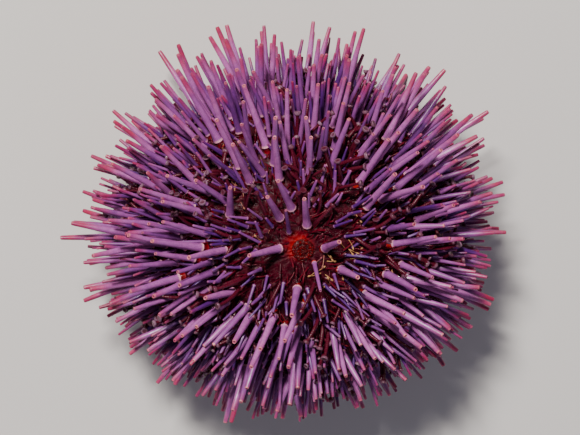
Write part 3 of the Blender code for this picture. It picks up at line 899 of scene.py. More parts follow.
def group_of(name, inputs, outputs):
    """An empty node group with its sockets."""
    made = bpy.data.node_groups.new(name, "ShaderNodeTree")
    for title, (kind, value) in inputs.items():
        socket = made.interface.new_socket(title, in_out="INPUT", socket_type=kind)
        if value is not None:
            socket.default_value = value
    for title, kind in outputs.items():
        made.interface.new_socket(title, in_out="OUTPUT", socket_type=kind)
    entry = made.nodes.new("NodeGroupInput")
    leave = made.nodes.new("NodeGroupOutput")
    return made, entry.outputs, leave.inputs


def mottle_group():
    """Patches and fine grain over a colour."""
    inputs = {
        "Place": ("NodeSocketVector", None),
        "Colour": ("NodeSocketColor", (0.5, 0.5, 0.5, 1)),
        "Patch colour": ("NodeSocketColor", (0.2, 0.2, 0.2, 1)),
        "Patch scale": ("NodeSocketFloat", 300.0),
        "Patches": ("NodeSocketFloat", 0.5),
        "Grain": ("NodeSocketFloat", 0.3),
    }
    tree, entry, leave = group_of("Mottle", inputs, {"Colour": "NodeSocketColor"})
    patches = noisy(tree, entry["Place"], entry["Patch scale"], 3, 0.6, 0.6)
    patches = ramp(tree, patches, ((0.38, 0), (0.62, 1)))
    share = maths(tree, "MULTIPLY", patches, entry["Patches"])
    patched = mixed(tree, share, entry["Colour"], entry["Patch colour"])
    grain = noisy(tree, entry["Place"], maths(tree, "MULTIPLY", entry["Patch scale"], 9.0), 2, 0.7)
    shade = ramp(tree, grain, ((0.3, 0.35), (0.5, 1.0), (0.75, 1.5)))
    grained = mixed(tree, entry["Grain"], patched, mixed(tree, 1.0, patched, shade, "MULTIPLY"))
    tree.links.new(grained, leave["Colour"])
    return tree


def ribs_group():
    """Fine ribs along a shaft, from its own map."""
    inputs = {
        "Around": ("NodeSocketFloat", 0.0),
        "Ribs": ("NodeSocketFloat", 14.0),
        "Waver": ("NodeSocketFloat", 0.0),
    }
    tree, entry, leave = group_of("Ribs", inputs, {"Height": "NodeSocketFloat"})
    turns = maths(tree, "MULTIPLY", entry["Around"], 2 * math.pi / WRAP_WIDTH)
    phase = maths(tree, "ADD", maths(tree, "MULTIPLY", turns, entry["Ribs"]), entry["Waver"])
    wave = maths(tree, "SINE", phase)
    tree.links.new(maths(tree, "MULTIPLY_ADD", wave, 0.5), leave["Height"])
    return tree


def wet_group():
    """How rough a wet surface is: smooth where the film of water lies, rougher on the grain."""
    inputs = {
        "Place": ("NodeSocketVector", None),
        "Film scale": ("NodeSocketFloat", 250.0),
        "Smooth": ("NodeSocketFloat", 0.2),
        "Rough": ("NodeSocketFloat", 0.5),
    }
    tree, entry, leave = group_of("Wet film", inputs, {"Roughness": "NodeSocketFloat"})
    film = ramp(tree, noisy(tree, entry["Place"], entry["Film scale"], 2), ((0.4, 0), (0.65, 1)))
    span = maths(tree, "SUBTRACT", entry["Rough"], entry["Smooth"])
    rough = maths(tree, "ADD", maths(tree, "MULTIPLY", film, span), entry["Smooth"])
    tree.links.new(rough, leave["Roughness"])
    return tree


GROUP_MAKERS = {"Mottle": mottle_group, "Ribs": ribs_group, "Wet film": wet_group}


def grouped(tree, title, inputs):
    """One of the shared groups, placed in a material with its own values."""
    shared = bpy.data.node_groups.get(title) or GROUP_MAKERS[title]()
    made = tree.nodes.new("ShaderNodeGroup")
    made.node_tree = shared
    for name, value in inputs.items():
        if isinstance(value, bpy.types.NodeSocket):
            tree.links.new(value, made.inputs[name])
        else:
            made.inputs[name].default_value = value
    return made.outputs


def mottled(tree, colour, patch_colour, scale, patches, grain):
    """A colour with the shared patches and grain over it."""
    inputs = {
        "Place": place_on(tree),
        "Colour": colour,
        "Patch colour": patch_colour,
        "Patch scale": scale,
        "Patches": patches,
        "Grain": grain,
    }
    return grouped(tree, "Mottle", inputs)["Colour"]


def bumped(tree, shader, height, distance, strength=1.0):
    made = node(tree, "ShaderNodeBump", {"Height": height, "Distance": distance, "Strength": strength})
    tree.links.new(made.outputs["Normal"], shader.inputs["Normal"])


def wet(tree, shader, place, scale, smooth, rough):
    film = grouped(tree, "Wet film", {"Place": place, "Film scale": scale, "Smooth": smooth, "Rough": rough})
    tree.links.new(film["Roughness"], shader.inputs["Roughness"])


def skin_material(look):
    gloss = {"Specular_IOR_Level": 0.15, "Coat_Weight": 0.03, "Coat_Roughness": 0.2}
    made, tree, shader = new_material("urchin_skin", **gloss)
    place = place_on(tree)
    fold = number(tree, "fold")
    # The folds are coloured by their height: painted shade in the valleys, painted highlight along the
    # crests
    body = ramp(tree, fold, ((0.0, tuple(look.shaded_valley)), (0.45, tuple(look.flesh)), (0.9, tuple(look.lit_crest))))
    flesh = mottled(tree, body, tuple(look.flesh), 420, 0.7, 0.7)
    # Painted light: the red place beside the pole, brighter as if lit through
    painted_glow_share = maths(tree, "MULTIPLY", number(tree, "glow"), noisy(tree, place, 700, 2), clamp=True)
    colour = mixed(tree, maths(tree, "MULTIPLY", painted_glow_share, 1.6, clamp=True), flesh, tuple(look.glow))
    tree.links.new(colour, shader.inputs["Base Color"])
    wet(tree, shader, place, 500, 0.22, 0.6)
    bumped(tree, shader, noisy(tree, place, 2600, 3, 0.6, 1.0), 0.00025, 0.8)
    return made


# Where the colours of a spine lie along it, on the scale of its stations
FOOT_BAND = (0.62, 0.80)
COLLAR_BAND = (0.87, 0.91, 1.00, 1.03)
RIM_BAND = (1.965, 1.985, 2.02, 2.035)
CORE_BAND = (2.03, 2.06)
RED_START = 1.90
RED_EARLIER = 0.36
RED_LENGTH = 0.30


def spine_material(name, look, lavender, redness, rimmed):
    """Spines: collar, shaft, red outer part and blunt tip, by how far along they are."""
    made, tree, shader = new_material(name, Specular_IOR_Level=0.45, Coat_Weight=0.1, Coat_Roughness=0.2)
    place = place_on(tree)
    along = number(tree, "along")
    tint = number(tree, "tint")
    red = number(tree, "red")
    lie = node(tree, "ShaderNodeUVMap", uv_map="Lie").outputs[0]
    around = node(tree, "ShaderNodeSeparateXYZ", {0: lie}).outputs[0]
    blotch = noisy(tree, place, 260, 3, 0.6)
    # Painted light and shade: each shaft is mixed between the shaded blue violet and the lit lavender, by
    # its own draw and its set's share of the lit colour
    hue = maths(tree, "ADD", maths(tree, "MULTIPLY", tint, 0.45), maths(tree, "MULTIPLY", blotch, 0.5))
    hue = maths(tree, "ADD", hue, lavender - 0.25, clamp=True)
    shaft = mixed(tree, hue, tuple(look.shaded_and_patch_violet), tuple(look.shaft))
    reach = maths(tree, "ADD", along, maths(tree, "MULTIPLY", maths(tree, "SUBTRACT", blotch, 0.5), 0.25))
    reddened = reach_mask(tree, reach, red, redness)
    shaft = mixed(tree, reddened, shaft, tuple(look.red))
    collar = ramp_between(tree, along, *COLLAR_BAND)
    shaft = mixed(tree, maths(tree, "MULTIPLY", collar, 0.3 + 0.7 * rimmed), shaft, tuple(look.collar))
    foot = step_down(tree, along, *FOOT_BAND)
    shaft = mixed(tree, foot, shaft, tuple(look.muscle))
    rim = ramp_between(tree, along, *RIM_BAND)
    shown = maths(tree, "MULTIPLY", maths(tree, "SUBTRACT", 1.0, red, clamp=True), rimmed)
    shaft = mixed(tree, maths(tree, "MULTIPLY", rim, shown), shaft, tuple(look.rim))
    core = step_up(tree, along, *CORE_BAND)
    shaft = mixed(tree, core, shaft, tuple(look.core))
    # The deep blue violet also colours the mottle's patches
    shaft = mottled(tree, shaft, tuple(look.shaded_and_patch_violet), 620, 0.26, 0.45)
    waver = maths(tree, "MULTIPLY", blotch, 2.0)
    ribs = grouped(tree, "Ribs", {"Around": around, "Ribs": float(look.ribs), "Waver": waver})
    shade = ramp(tree, ribs["Height"], ((0.0, 0.80), (1.0, 1.08)))
    colour = mixed(tree, 0.8, shaft, mixed(tree, 1.0, shaft, shade, "MULTIPLY"))
    tree.links.new(colour, shader.inputs["Base Color"])
    wet(tree, shader, place, 600, 0.28, 0.5)
    bumped(tree, shader, ribs["Height"], 0.00005, 0.4)
    return made


def step_up(tree, value, low, high):
    return maths(tree, "DIVIDE", maths(tree, "SUBTRACT", value, low), high - low, clamp=True)


def step_down(tree, value, low, high):
    return maths(tree, "SUBTRACT", 1.0, step_up(tree, value, low, high))


def ramp_between(tree, value, low, full, still, end):
    """A band: rises from low to full, holds, and is gone at the end."""
    return maths(tree, "MULTIPLY", step_up(tree, value, low, full), step_down(tree, value, still, end))


def reach_mask(tree, reach, red, redness):
    """How red the outer part is: it starts farther down on the redder spines."""
    start = maths(tree, "SUBTRACT", RED_START, maths(tree, "MULTIPLY", red, RED_EARLIER))
    part = maths(tree, "DIVIDE", maths(tree, "SUBTRACT", reach, start), RED_LENGTH, clamp=True)
    strength = maths(tree, "ADD", maths(tree, "MULTIPLY", red, 0.45), redness + 0.05, clamp=True)
    return maths(tree, "MULTIPLY", part, strength)


def muscle_material(look):
    made, tree, shader = new_material("spine_muscle", Coat_Weight=0.2, Coat_Roughness=0.1)
    place = place_on(tree)
    glow = number(tree, "glow")
    streaks = noisy(tree, place, 1500, 2)
    # Painted light: each muscle is mixed towards the lit orange red by its painted glow
    lit = maths(tree, "MULTIPLY", glow, maths(tree, "ADD", streaks, 0.4), clamp=True)
    colour = mixed(tree, lit, tuple(look.muscle), tuple(look.bright))
    dark = mixed(tree, step_down(tree, number(tree, "along"), 0.0, 0.5), colour, tuple(look.core))
    tree.links.new(dark, shader.inputs["Base Color"])
    wet(tree, shader, place, 700, 0.12, 0.35)
    bumped(tree, shader, streaks, 0.0001, 0.5)
    return made


# Where the disc of a tube foot and its dark face begin, and how close the rings of the stalk are
DISC_BAND = (0.92, 0.95)
FACE_BAND = (1.02, 1.05)
STALK_RINGS = 95.0


def foot_material(soft):
    gloss = {"Specular_IOR_Level": 0.25, "Coat_Weight": 0.05, "Coat_Roughness": 0.15}
    made, tree, shader = new_material("tube_foot", **gloss)
    place = place_on(tree)
    along = number(tree, "along")
    rings = maths(tree, "SINE", maths(tree, "MULTIPLY", along, STALK_RINGS))
    ringed = maths(tree, "MULTIPLY_ADD", rings, 0.5)
    ring = mixed(tree, 0.09, tuple(soft.stalk_colour), tuple(soft.disc_colour))
    stalk = mixed(tree, maths(tree, "MULTIPLY", ringed, 0.6), tuple(soft.stalk_colour), ring)
    disc = step_up(tree, along, *DISC_BAND)
    pale = mixed(tree, number(tree, "pale"), tuple(soft.stalk_colour), tuple(soft.disc_colour))
    colour = mixed(tree, disc, stalk, pale)
    face = step_up(tree, along, *FACE_BAND)
    colour = mixed(tree, maths(tree, "MULTIPLY", face, 0.8), colour, tuple(soft.sucker))
    colour = mottled(tree, colour, tuple(soft.stalk_colour), 1100, 0.4, 0.4)
    tree.links.new(colour, shader.inputs["Base Color"])
    wet(tree, shader, place, 800, 0.2, 0.5)
    bumped(tree, shader, ringed, 0.00006, 0.4)
    return made


def thread_material(name, first, second, smooth=0.25):
    """Fine soft things, between two colours by each one's own draw."""
    made, tree, shader = new_material(name, Specular_IOR_Level=0.2, Coat_Weight=0.04, Coat_Roughness=0.2)
    place = place_on(tree)
    tone = maths(tree, "ADD", number(tree, "tint"), noisy(tree, place, 900, 2), clamp=True)
    colour = mixed(tree, maths(tree, "SUBTRACT", tone, 0.3, clamp=True), first, second)
    tree.links.new(colour, shader.inputs["Base Color"])
    wet(tree, shader, place, 900, smooth, 0.4)
    bumped(tree, shader, noisy(tree, place, 5000, 2), 0.0001, 0.5)
    return made


def membrane_material(name, low, high, scale, coat=0.4):
    """Soft wet membrane, paler on its raised parts."""
    gloss = {"Specular_IOR_Level": 0.2, "Coat_Weight": coat, "Coat_Roughness": 0.1}
    made, tree, shader = new_material(name, **gloss)
    place = place_on(tree)
    body = mixed(tree, number(tree, "fold"), low, high)
    tree.links.new(mottled(tree, body, low, scale, 0.5, 0.5), shader.inputs["Base Color"])
    wet(tree, shader, place, scale, 0.12, 0.4)
    bumped(tree, shader, noisy(tree, place, scale * 5, 3, 0.6, 0.8), 0.0002, 0.7)
    return made


def tooth_material():
    made, tree, shader = new_material("tooth_enamel", Coat_Weight=0.3, Coat_Roughness=0.1)
    place = place_on(tree)
    stain = noisy(tree, place, 500, 3, 0.6)
    colour = mixed(tree, stain, srgb(0.93, 0.90, 0.82), srgb(0.76, 0.68, 0.55))
    tree.links.new(colour, shader.inputs["Base Color"])
    wet(tree, shader, place, 900, 0.15, 0.35)
    bumped(tree, shader, noisy(tree, place, 4000, 2), 0.00008, 0.4)
    return made


def floor_material(look):
    made, tree, shader = new_material("floor_paper", Specular_IOR_Level=0.2)
    place = place_on(tree)
    tone = ramp(tree, noisy(tree, place, 6, 2), ((0.3, 0.97), (0.7, 1.0)))
    tree.links.new(mixed(tree, 1.0, tuple(look.floor), tone, "MULTIPLY"), shader.inputs["Base Color"])
    shader.inputs["Roughness"].default_value = 0.8
    return made


# The skin

SKIN_SIDES = 96
SKIN_RINGS = 38
SKIN_SINK = 0.0025
TOP_RING = 0.012
CLOSER_AT_POLE = 1.15

# The ring and boss round a spine's root, in its own radii: how far the boss reaches, how close the rings are
# and how fast they fade
BOSS_REACH = 1.5
RING_TURNS = 5.2
RING_FADE = 0.9
RING_IN_FOLD = 0.2
FOLD_LEVEL = 0.45

# The folds: waves drawn on the skin, with finer ones over them, and how far both are drawn awry
DRIFT_SCALE = 0.4
DRIFT_REACH = 1.3
FINE_SCALE = 2.3
RIDGE_SHARPNESS = 2.6
RIDGE_SHARE = 0.72

# The red place beside the pole, red tissue painted brighter where light shines through it: its middle, how
# far it reaches, and how full it is there
GLOW_PLACE = (-0.0010, 0.0008)
GLOW_REACH = 0.0033
GLOW_FULL = 1.15


def skin_stations():
    """Rings down the test, closer together near the pole, ending tucked in over the mouth."""
    last = way_down(PERISTOME_RADIUS, crown=False)
    ways = np.linspace(TOP_RING, 1, SKIN_RINGS) ** CLOSER_AT_POLE * last
    heights, radii = (np.interp(ways, RUN, RUN_POINTS[:, column]) for column in (1, 0))
    stations = list(zip(heights, radii))
    inside = ORAL_LIFT + SKIN_SINK
    stations += [(inside, PERISTOME_RADIUS * 0.97), (inside, PERISTOME_RADIUS * 0.5), (inside, 0.0005)]
    return [(float(height), float(radius)) for height, radius in stations]


def root_tree(spines):
    tree = kdtree.KDTree(len(spines))
    for index, spine in enumerate(spines):
        tree.insert(spine.root, index)
    tree.balance()
    return tree


def fold_height(place, width):
    """How high the skin's folds stand at a place, from nothing to one."""
    scale = 1 / width
    drift = noise.noise_vector(place * scale * DRIFT_SCALE) * DRIFT_REACH
    wave = noise.noise(place * scale + drift)
    fine = noise.noise(place * scale * FINE_SCALE - drift)
    ridge = 1 - min(1, abs(wave) * RIDGE_SHARPNESS)
    return RIDGE_SHARE * ridge + (1 - RIDGE_SHARE) * (0.5 + fine)


def raised_skin(points, look):
    """How far each point of the skin is raised, and how high in its fold it lies."""
    # The folds' drift follows a seed that Blender takes from the clock until it is set
    noise.seed_set(SEED)
    tree = root_tree(LARGER)
    lifts, folds = np.zeros(len(points)), np.zeros(len(points))
    for index, place in enumerate(points):
        place = Vector(place)
        _, nearest, apart = tree.find(place)
        reach = apart / LARGER[nearest].root_radius
        fold = fold_height(place, look.fold_width)
        boss = max(0, 1 - (reach / BOSS_REACH) ** 2)
        ring = math.cos(reach * RING_TURNS) * math.exp(-max(reach - 1, 0) * RING_FADE)
        lifts[index] = look.fold_height * (fold - FOLD_LEVEL) * (1 - boss) + look.boss_height * boss
        lifts[index] += look.ring_height * ring * (1 - boss)
        folds[index] = min(1, max(0, fold * (1 - RING_IN_FOLD) + RING_IN_FOLD * ring))
    return lifts, folds


def outward_all(points):
    return np.array([outward(Vector(point)) for point in points])


class URCHIN_OT_skin(bpy.types.Operator):
    """One skin over the whole test, folded between the spines and ringed round their roots"""

    bl_idname = "urchin.skin"
    bl_label = "Skin"

    def execute(self, context):
        look = context.scene.urchin_skin
        made = drawn_out("skin", SKIN_SIDES, skin_stations())
        rounded(made, 2)
        points = coordinates(made)
        lifts, folds = raised_skin(points, look)
        points[:, 0] *= TEST_STRETCH
        points[:, 1] /= TEST_STRETCH
        shown = np.hypot(points[:, 0], points[:, 1]) > PERISTOME_RADIUS * 0.98
        shown |= points[:, 2] > AMBITUS_LEVEL
        lifts[~shown] = 0
        points += outward_all(points) * lifts[:, None]
        apart = np.hypot(*(points[:, :2] - GLOW_PLACE).T)
        glow = np.clip(GLOW_FULL - apart / GLOW_REACH, 0, 1)
        glow *= points[:, 2] > AMBITUS_LEVEL
        add_numbers(made, {"fold": folds, "glow": glow})
        add_bake_map(made, points)
        set_coordinates(made, points + np.array(POLE))
        sectors = [home.node for home in homes()]
        finished(made, skin_material(look), "spined_test", *sectors, DISC, sharp=180)
        return {"FINISHED"}


def add_numbers(obj, values):
    for title, numbers in values.items():
        made = obj.data.attributes.new(title, "FLOAT", "POINT")
        made.data.foreach_set("value", np.asarray(numbers, dtype=np.float32))


def add_bake_map(obj, points):
    """The unwrap of the skin's own shape, round the pole."""
    corners = np.zeros(len(obj.data.loops), dtype=np.int32)
    obj.data.loops.foreach_get("vertex_index", corners)
    while obj.data.uv_layers:
        obj.data.uv_layers.remove(obj.data.uv_layers[0])
    spots = on_unwrap(points)[corners]
    obj.data.uv_layers.new(name="OFBake").data.foreach_set("uv", spots.astype(np.float32).ravel())


# The pole and the mouth

PERIPROCT_SIDES = 24
PERIPROCT_STATIONS = (
    (-0.0012, 0.0022),
    (-0.0002, 0.0026),
    (0.0002, 0.0025),
    (0.0005, 0.0021),
    (0.0006, 0.0016),
    (0.0004, 0.0011),
    (0.0007, 0.0008),
    (0.0010, 0.0005),
    (0.0008, 0.0003),
    (0.0004, 0.00015),
)
PLATES_PER_METRE = 1500
PLATE_SHARPNESS = 2.2
PLATE_RISE = 0.0003


class URCHIN_OT_periproct(bpy.types.Operator):
    """The red plated membrane at the pole, with the vent in its middle"""

    bl_idname = "urchin.periproct"
    bl_label = "Periproct"

    def execute(self, context):
        stations = [(POLE_LEVEL + height, radius) for height, radius in PERIPROCT_STATIONS]
        made = drawn_out("periproct_skin", PERIPROCT_SIDES, stations)
        rounded(made, 2)
        points = coordinates(made)
        folds = np.zeros(len(points))
        for index, place in enumerate(points):
            near = noise.voronoi(Vector(place) * PLATES_PER_METRE)[0]
            folds[index] = min(1, (near[1] - near[0]) * PLATE_SHARPNESS)
        points[:, 2] += (folds - 0.5) * PLATE_RISE
        add_numbers(made, {"fold": folds})
        set_coordinates(made, points + np.array(POLE))
        low, high = srgb(0.15, 0.0, 0.015), srgb(0.48, 0.01, 0.02)
        material = membrane_material("periproct_skin", low, high, 1400, coat=0.04)
        finished(made, material, "apical_skin", "periproct", sharp=180)
        return {"FINISHED"}


MOUTH_SIDES = 80
LIP_FOLDS = 25
LIP_FOLD_RISE = 0.00035
LIP_PLATES_PER_METRE = 1400
LIP_PLATE_RISE = 0.0002
WAVER_SCALE = 500
WAVER_REACH = 3.0
RIM_FADE = 0.001
LIP_FADE = 0.0006


def peristome_stations():
    """From the rim of the membrane in to the lips and up into the mouth."""
    rim, lift = PERISTOME_RADIUS - GAP / 2, ORAL_LIFT
    return (
        (lift + PERISTOME_DEPTH * 0.8, rim * 0.9),
        (lift + PERISTOME_DEPTH * 0.5, rim),
        (lift + LIP_DROP + 0.0004, rim),
        (lift + LIP_DROP, rim * 0.96),
        (lift + 0.0007, rim * 0.82),
        (lift + 0.0006, rim * 0.66),
        (lift + 0.0004, rim * 0.50),
        (lift - 0.0002, LIP_RADIUS),
        (lift - 0.0004, LIP_RADIUS * 0.86),
        (lift - 0.0001, MOUTH_RADIUS * 1.1),
        (lift + 0.0006, MOUTH_RADIUS * 0.95),
        (lift + MOUTH_DEPTH * 0.7, MOUTH_RADIUS * 0.95),
        (lift + MOUTH_DEPTH, MOUTH_RADIUS * 0.8),
        (lift + MOUTH_DEPTH, MOUTH_RADIUS * 0.2),
    )


class URCHIN_OT_mouth(bpy.types.Operator):
    """The membrane round the mouth, with its folds and lips"""

    bl_idname = "urchin.mouth"
    bl_label = "Mouth membrane"

    def execute(self, context):
        look = context.scene.urchin_skin
        made = drawn_out("peristome_skin", MOUTH_SIDES, peristome_stations())
        rounded(made, 2)
        points = coordinates(made)
        spread = np.hypot(points[:, 0], points[:, 1])
        turn = np.arctan2(points[:, 1], points[:, 0])
        lower = points[:, 2] < ORAL_LIFT + 0.0016
        part = np.clip((PERISTOME_RADIUS - spread) / RIM_FADE, 0, 1)
        part *= np.clip((spread - MOUTH_RADIUS) / LIP_FADE, 0, 1)
        waver = np.array([noise.noise(Vector(place) * WAVER_SCALE) for place in points])
        folds = 0.5 + 0.5 * np.sin(turn * LIP_FOLDS + waver * WAVER_REACH)
        plates = np.array([noise.noise(Vector(place) * LIP_PLATES_PER_METRE) for place in points])
        points[:, 2] -= (folds * LIP_FOLD_RISE + plates * LIP_PLATE_RISE) * part * lower
        add_numbers(made, {"fold": np.clip(folds * 0.7 + plates * 0.5, 0, 1)})
        set_coordinates(made, points + np.array(POLE))
        # The membrane's hollows take the painted shade of the skin's valleys
        material = membrane_material("peristome_skin", tuple(look.shaded_valley), srgb(0.50, 0.20, 0.26), 700)
        finished(made, material, "oral_skin", "peristome", sharp=180)
        return {"FINISHED"}


TOOTH_GROOVE = 0.00012
TOOTH_EDGE = 0.00006


def tooth_by_hand():
    """One tooth, from a block: narrowed to its tip, its edges bevelled and its outer face grooved."""
    deselect()
    bpy.ops.mesh.primitive_cube_add(size=1)
    made = bpy.context.object
    bpy.ops.object.mode_set(mode="EDIT")
    bpy.ops.mesh.select_all(action="SELECT")
    bpy.ops.mesh.subdivide(number_cuts=2)
    bpy.ops.object.mode_set(mode="OBJECT")
    points = coordinates(made)
    down = 0.5 - points[:, 2]
    out = points[:, 0] + 0.5
    root_level = ORAL_LIFT + MOUTH_DEPTH - GAP
    inner = np.interp(down, (0, 1), (TOOTH_ROOT_REACH[0], TOOTH_TIP_REACH[0]))
    outer = np.interp(down, (0, 1), (TOOTH_ROOT_REACH[1], TOOTH_TIP_REACH[1]))
    narrow = np.interp(down, (0, 1), (TOOTH_ROOT_HALF_WIDTH[0], TOOTH_TIP_HALF_WIDTH[0]))
    wide = np.interp(down, (0, 1), (TOOTH_ROOT_HALF_WIDTH[1], TOOTH_TIP_HALF_WIDTH[1]))
    half = narrow + (wide - narrow) * out
    groove = TOOTH_GROOVE * (out > 0.99) * (np.abs(points[:, 1]) < 0.2)
    reach = inner + (outer - inner) * out - groove
    level = root_level - down * TOOTH_HEIGHT
    set_coordinates(made, np.stack([reach, points[:, 1] * 2 * half, level], 1))
    finish_with(made, "BEVEL", width=TOOTH_EDGE, segments=2)
    rounded(made, 1)
    return made


class URCHIN_OT_teeth(bpy.types.Operator):
    """Five teeth that meet in the mouth"""

    bl_idname = "urchin.teeth"
    bl_label = "Teeth"

    def execute(self, context):
        first = tooth_by_hand()
        material = tooth_material()
        for index in range(SECTOR_COUNT):
            made = first.copy()
            made.data = first.data.copy()
            made.name = f"tooth_enamel_{index + 1}"
            context.scene.collection.objects.link(made)
            turn = FIRST_AMBULACRUM + (index + 0.5) * PITCH
            made.data.transform(Matrix.Translation(POLE) @ Matrix.Rotation(turn, 4, "Z"))
            finished(made, material, "tooth", f"tooth_{index + 1}", sharp=40)
        bpy.data.objects.remove(first)
        return {"FINISHED"}


# Spines

# Stations of a spine: up to 1 is the foot, in collar heights, from 1 to 2 the shaft, and beyond 2 the tip
PRIMARY_SIDES = 9
PRIMARY_STATIONS = (
    (0.20, 0.80),
    (0.74, 0.98),
    (0.86, 1.27),
    (1.00, 1.24),
    (1.045, 0.99),
    (1.35, 1.03),
    (1.975, 1.02),
    (2.000, 0.84),
    (2.040, 0.50),
    (2.060, 0.16),
)
FINE_SIDES = 6
FINE_STATIONS = ((0.10, 0.85), (0.80, 1.22), (1.00, 1.12), (1.07, 0.97), (1.98, 1.0), (2.00, 0.66))
TIP_HEIGHT = 0.06
TIP_DIP = 0.35
GIRTH = 1.09
TAPER = 1.15
SMALL_COLLAR = 1.2

# Each small kind's share of the painted lit lavender over the painted shaded blue violet, of red, and of the
# pale rim
SMALL_LOOKS = (("mane", 0.34, 0.2, 0.4), ("small", 0.16, 0.1, 0.15), ("hair", 0.1, 0.1, 0))

# How a spine's hue and its red are drawn: the spread of the hue, how much redder the edge of the animal is,
# how much is taken off, and the spread of the red
HUE_SPREAD = 0.42
EDGE_RED = 0.95
RED_OFF = 0.02
RED_SPREAD = 0.13


def strands_of(spines, values):
    """Arrays of straight strands for a list of spines."""
    roots = np.array([spine.root for spine in spines])
    axes = np.array([spine.axis for spine in spines])
    towards = np.cross(axes, unit(np.random.default_rng(SEED).normal(size=axes.shape)))
    return {"root": roots, "axis": axes, "towards": towards, "bend": np.zeros(len(spines)), "values": values}


def spine_values(spines, chance):
    """Each spine's own hue, and how red its outer part is: most at the edge of the animal."""
    roots = np.array([spine.root for spine in spines])
    spread = np.hypot(roots[:, 0], roots[:, 1]) / TEST_RADIUS
    tint = chance.normal(0, HUE_SPREAD, len(spines))
    red = np.clip(spread**2 * EDGE_RED - RED_OFF + chance.normal(0, RED_SPREAD, len(spines)), 0, 1)
    return {"tint": tint, "red": red}


def spine_piece(name, sides, stations, spines, collar_way, values):
    """All the spines of one size, from one master."""
    master = master_of(drawn_out(name + "_master", sides, stations))
    height = master.points[:, 2]
    lengths = np.array([spine.length for spine in spines])[:, None]
    roots = np.array([spine.root_radius for spine in spines])[:, None] * GIRTH
    tips = np.array([spine.tip_radius for spine in spines])[:, None] * GIRTH
    collar = collar_way * np.minimum(1, roots / SIZES["primary"][0])
    shaft = np.clip(height - 1, 0, 1)[None]
    tip = np.clip(height - 2, 0, 1)[None]
    ways = collar * np.minimum(height, 1)[None] + (lengths - collar) * shaft
    ways = ways - tips * TIP_DIP * tip / TIP_HEIGHT
    girths = roots + (tips - roots) * shaft**TAPER
    return planted(name, master, strands_of(spines, values), ways, girths)


class URCHIN_OT_spines(bpy.types.Operator):
    """The larger spines, each with its collar, ribbed shaft and blunt tip"""

    bl_idname = "urchin.spines"
    bl_label = "Large spines"

    def execute(self, context):
        look = context.scene.urchin_spines
        chance = np.random.default_rng(SEED)
        cut = (SIZES["primary"][0] * AMBULACRAL_SIZE + SIZES["second"][0]) / 2
        middle_cut = (SIZES["second"][0] + SIZES["fine"][0]) / 2
        sets = (
            # The thinner the spines, the less of the painted lit lavender and the more of the painted shaded
            # blue violet
            ("large_spines", [s for s in LARGER if s.root_radius > cut], 0.80, 0.34, 1.0),
            ("middle_spines", [s for s in LARGER if middle_cut < s.root_radius <= cut], 0.60, 0.26, 0.7),
            ("slender_spines", [s for s in LARGER if s.root_radius <= middle_cut], 0.35, 0.16, 0.4),
        )
        for name, spines, lavender, redness, rimmed in sets:
            values = spine_values(spines, chance)
            made = spine_piece(name, PRIMARY_SIDES, PRIMARY_STATIONS, spines, look.collar_way, values)
            finished(made, spine_material(name, look, lavender, redness, rimmed), "spined_test", sharp=42)
        return {"FINISHED"}


class URCHIN_OT_small_spines(bpy.types.Operator):
    """The undergrowth of small spines between the larger ones"""

    bl_idname = "urchin.small_spines"
    bl_label = "Small spines"

    def execute(self, context):
        look = context.scene.urchin_spines
        chance = np.random.default_rng(SEED + 2)
        for kind, lavender, redness, rimmed in SMALL_LOOKS:
            spines = [spine for spine in THICKET.spines if spine.node == kind]
            name = f"{kind}_spines"
            values = spine_values(spines, chance)
            collar_way = look.collar_way * SMALL_COLLAR
            made = spine_piece(name, FINE_SIDES, FINE_STATIONS, spines, collar_way, values)
            finished(made, spine_material(name, look, lavender, redness, rimmed), "spined_test", sharp=60)
        return {"FINISHED"}


MUSCLE_SIDES = 9
MUSCLE_STATIONS = ((0.0, 1.35), (0.25, 1.22), (0.6, 1.16), (0.86, 1.02), (1.0, 0.7))
MUSCLE_HEIGHT = 1.15
MUSCLE_SINK = 0.25

# Painted light: the side of the pole where the muscles are painted as lit, brightest, and how far from it
# they are
BRIGHT_TOWARDS = math.radians(-55)
BRIGHT_REACH = 0.024
BRIGHT_SHARE = 0.5
BRIGHT_CHANCE = 0.12
DULL_SHARE = 0.2


class URCHIN_OT_muscles(bpy.types.Operator):
    """The red muscle that holds each larger spine on its boss"""

    bl_idname = "urchin.muscles"
    bl_label = "Spine muscles"

    def execute(self, context):
        look = context.scene.urchin_spines
        chance = np.random.default_rng(SEED + 3)
        master = master_of(drawn_out("muscle_master", MUSCLE_SIDES, MUSCLE_STATIONS))
        roots = np.array([spine.root_radius for spine in LARGER])[:, None]
        collar = look.collar_way * np.minimum(1, roots / SIZES["primary"][0])
        ways = collar * (master.points[:, 2][None] * MUSCLE_HEIGHT - MUSCLE_SINK)
        places = np.array([spine.root for spine in LARGER])
        facing = np.cos(np.arctan2(places[:, 1], places[:, 0]) - BRIGHT_TOWARDS)
        near = np.clip(1.2 - np.hypot(places[:, 0], places[:, 1]) / BRIGHT_REACH, 0, 1)
        # Painted light: muscles lit on one side of the pole, and a random share of others
        glow = near * (BRIGHT_SHARE * facing) + chance.exponential(BRIGHT_CHANCE, len(LARGER)) - DULL_SHARE
        strands = strands_of(LARGER, {"glow": np.clip(glow, 0, 1)})
        made = planted("spine_muscles", master, strands, ways, roots * np.ones((1, len(master.points))))
        finished(made, muscle_material(look), "spined_test", sharp=80)
        return {"FINISHED"}


# Soft parts. A curl is given by how far it bends, how far it leans, how many draws it is the freest of, and
# how far round it may lie from the slope.

FOOT_CURL = Curl((0.2, 1.9), (0.3, 0.9), 6, 1.3)
FILAMENT_CURL = Curl((-0.6, 1.2), (0.7, 1.2), 2, 1.1)
PINCER_CURL = Curl((0.5, 2.2), (0.3, 1.0), 4, math.pi)

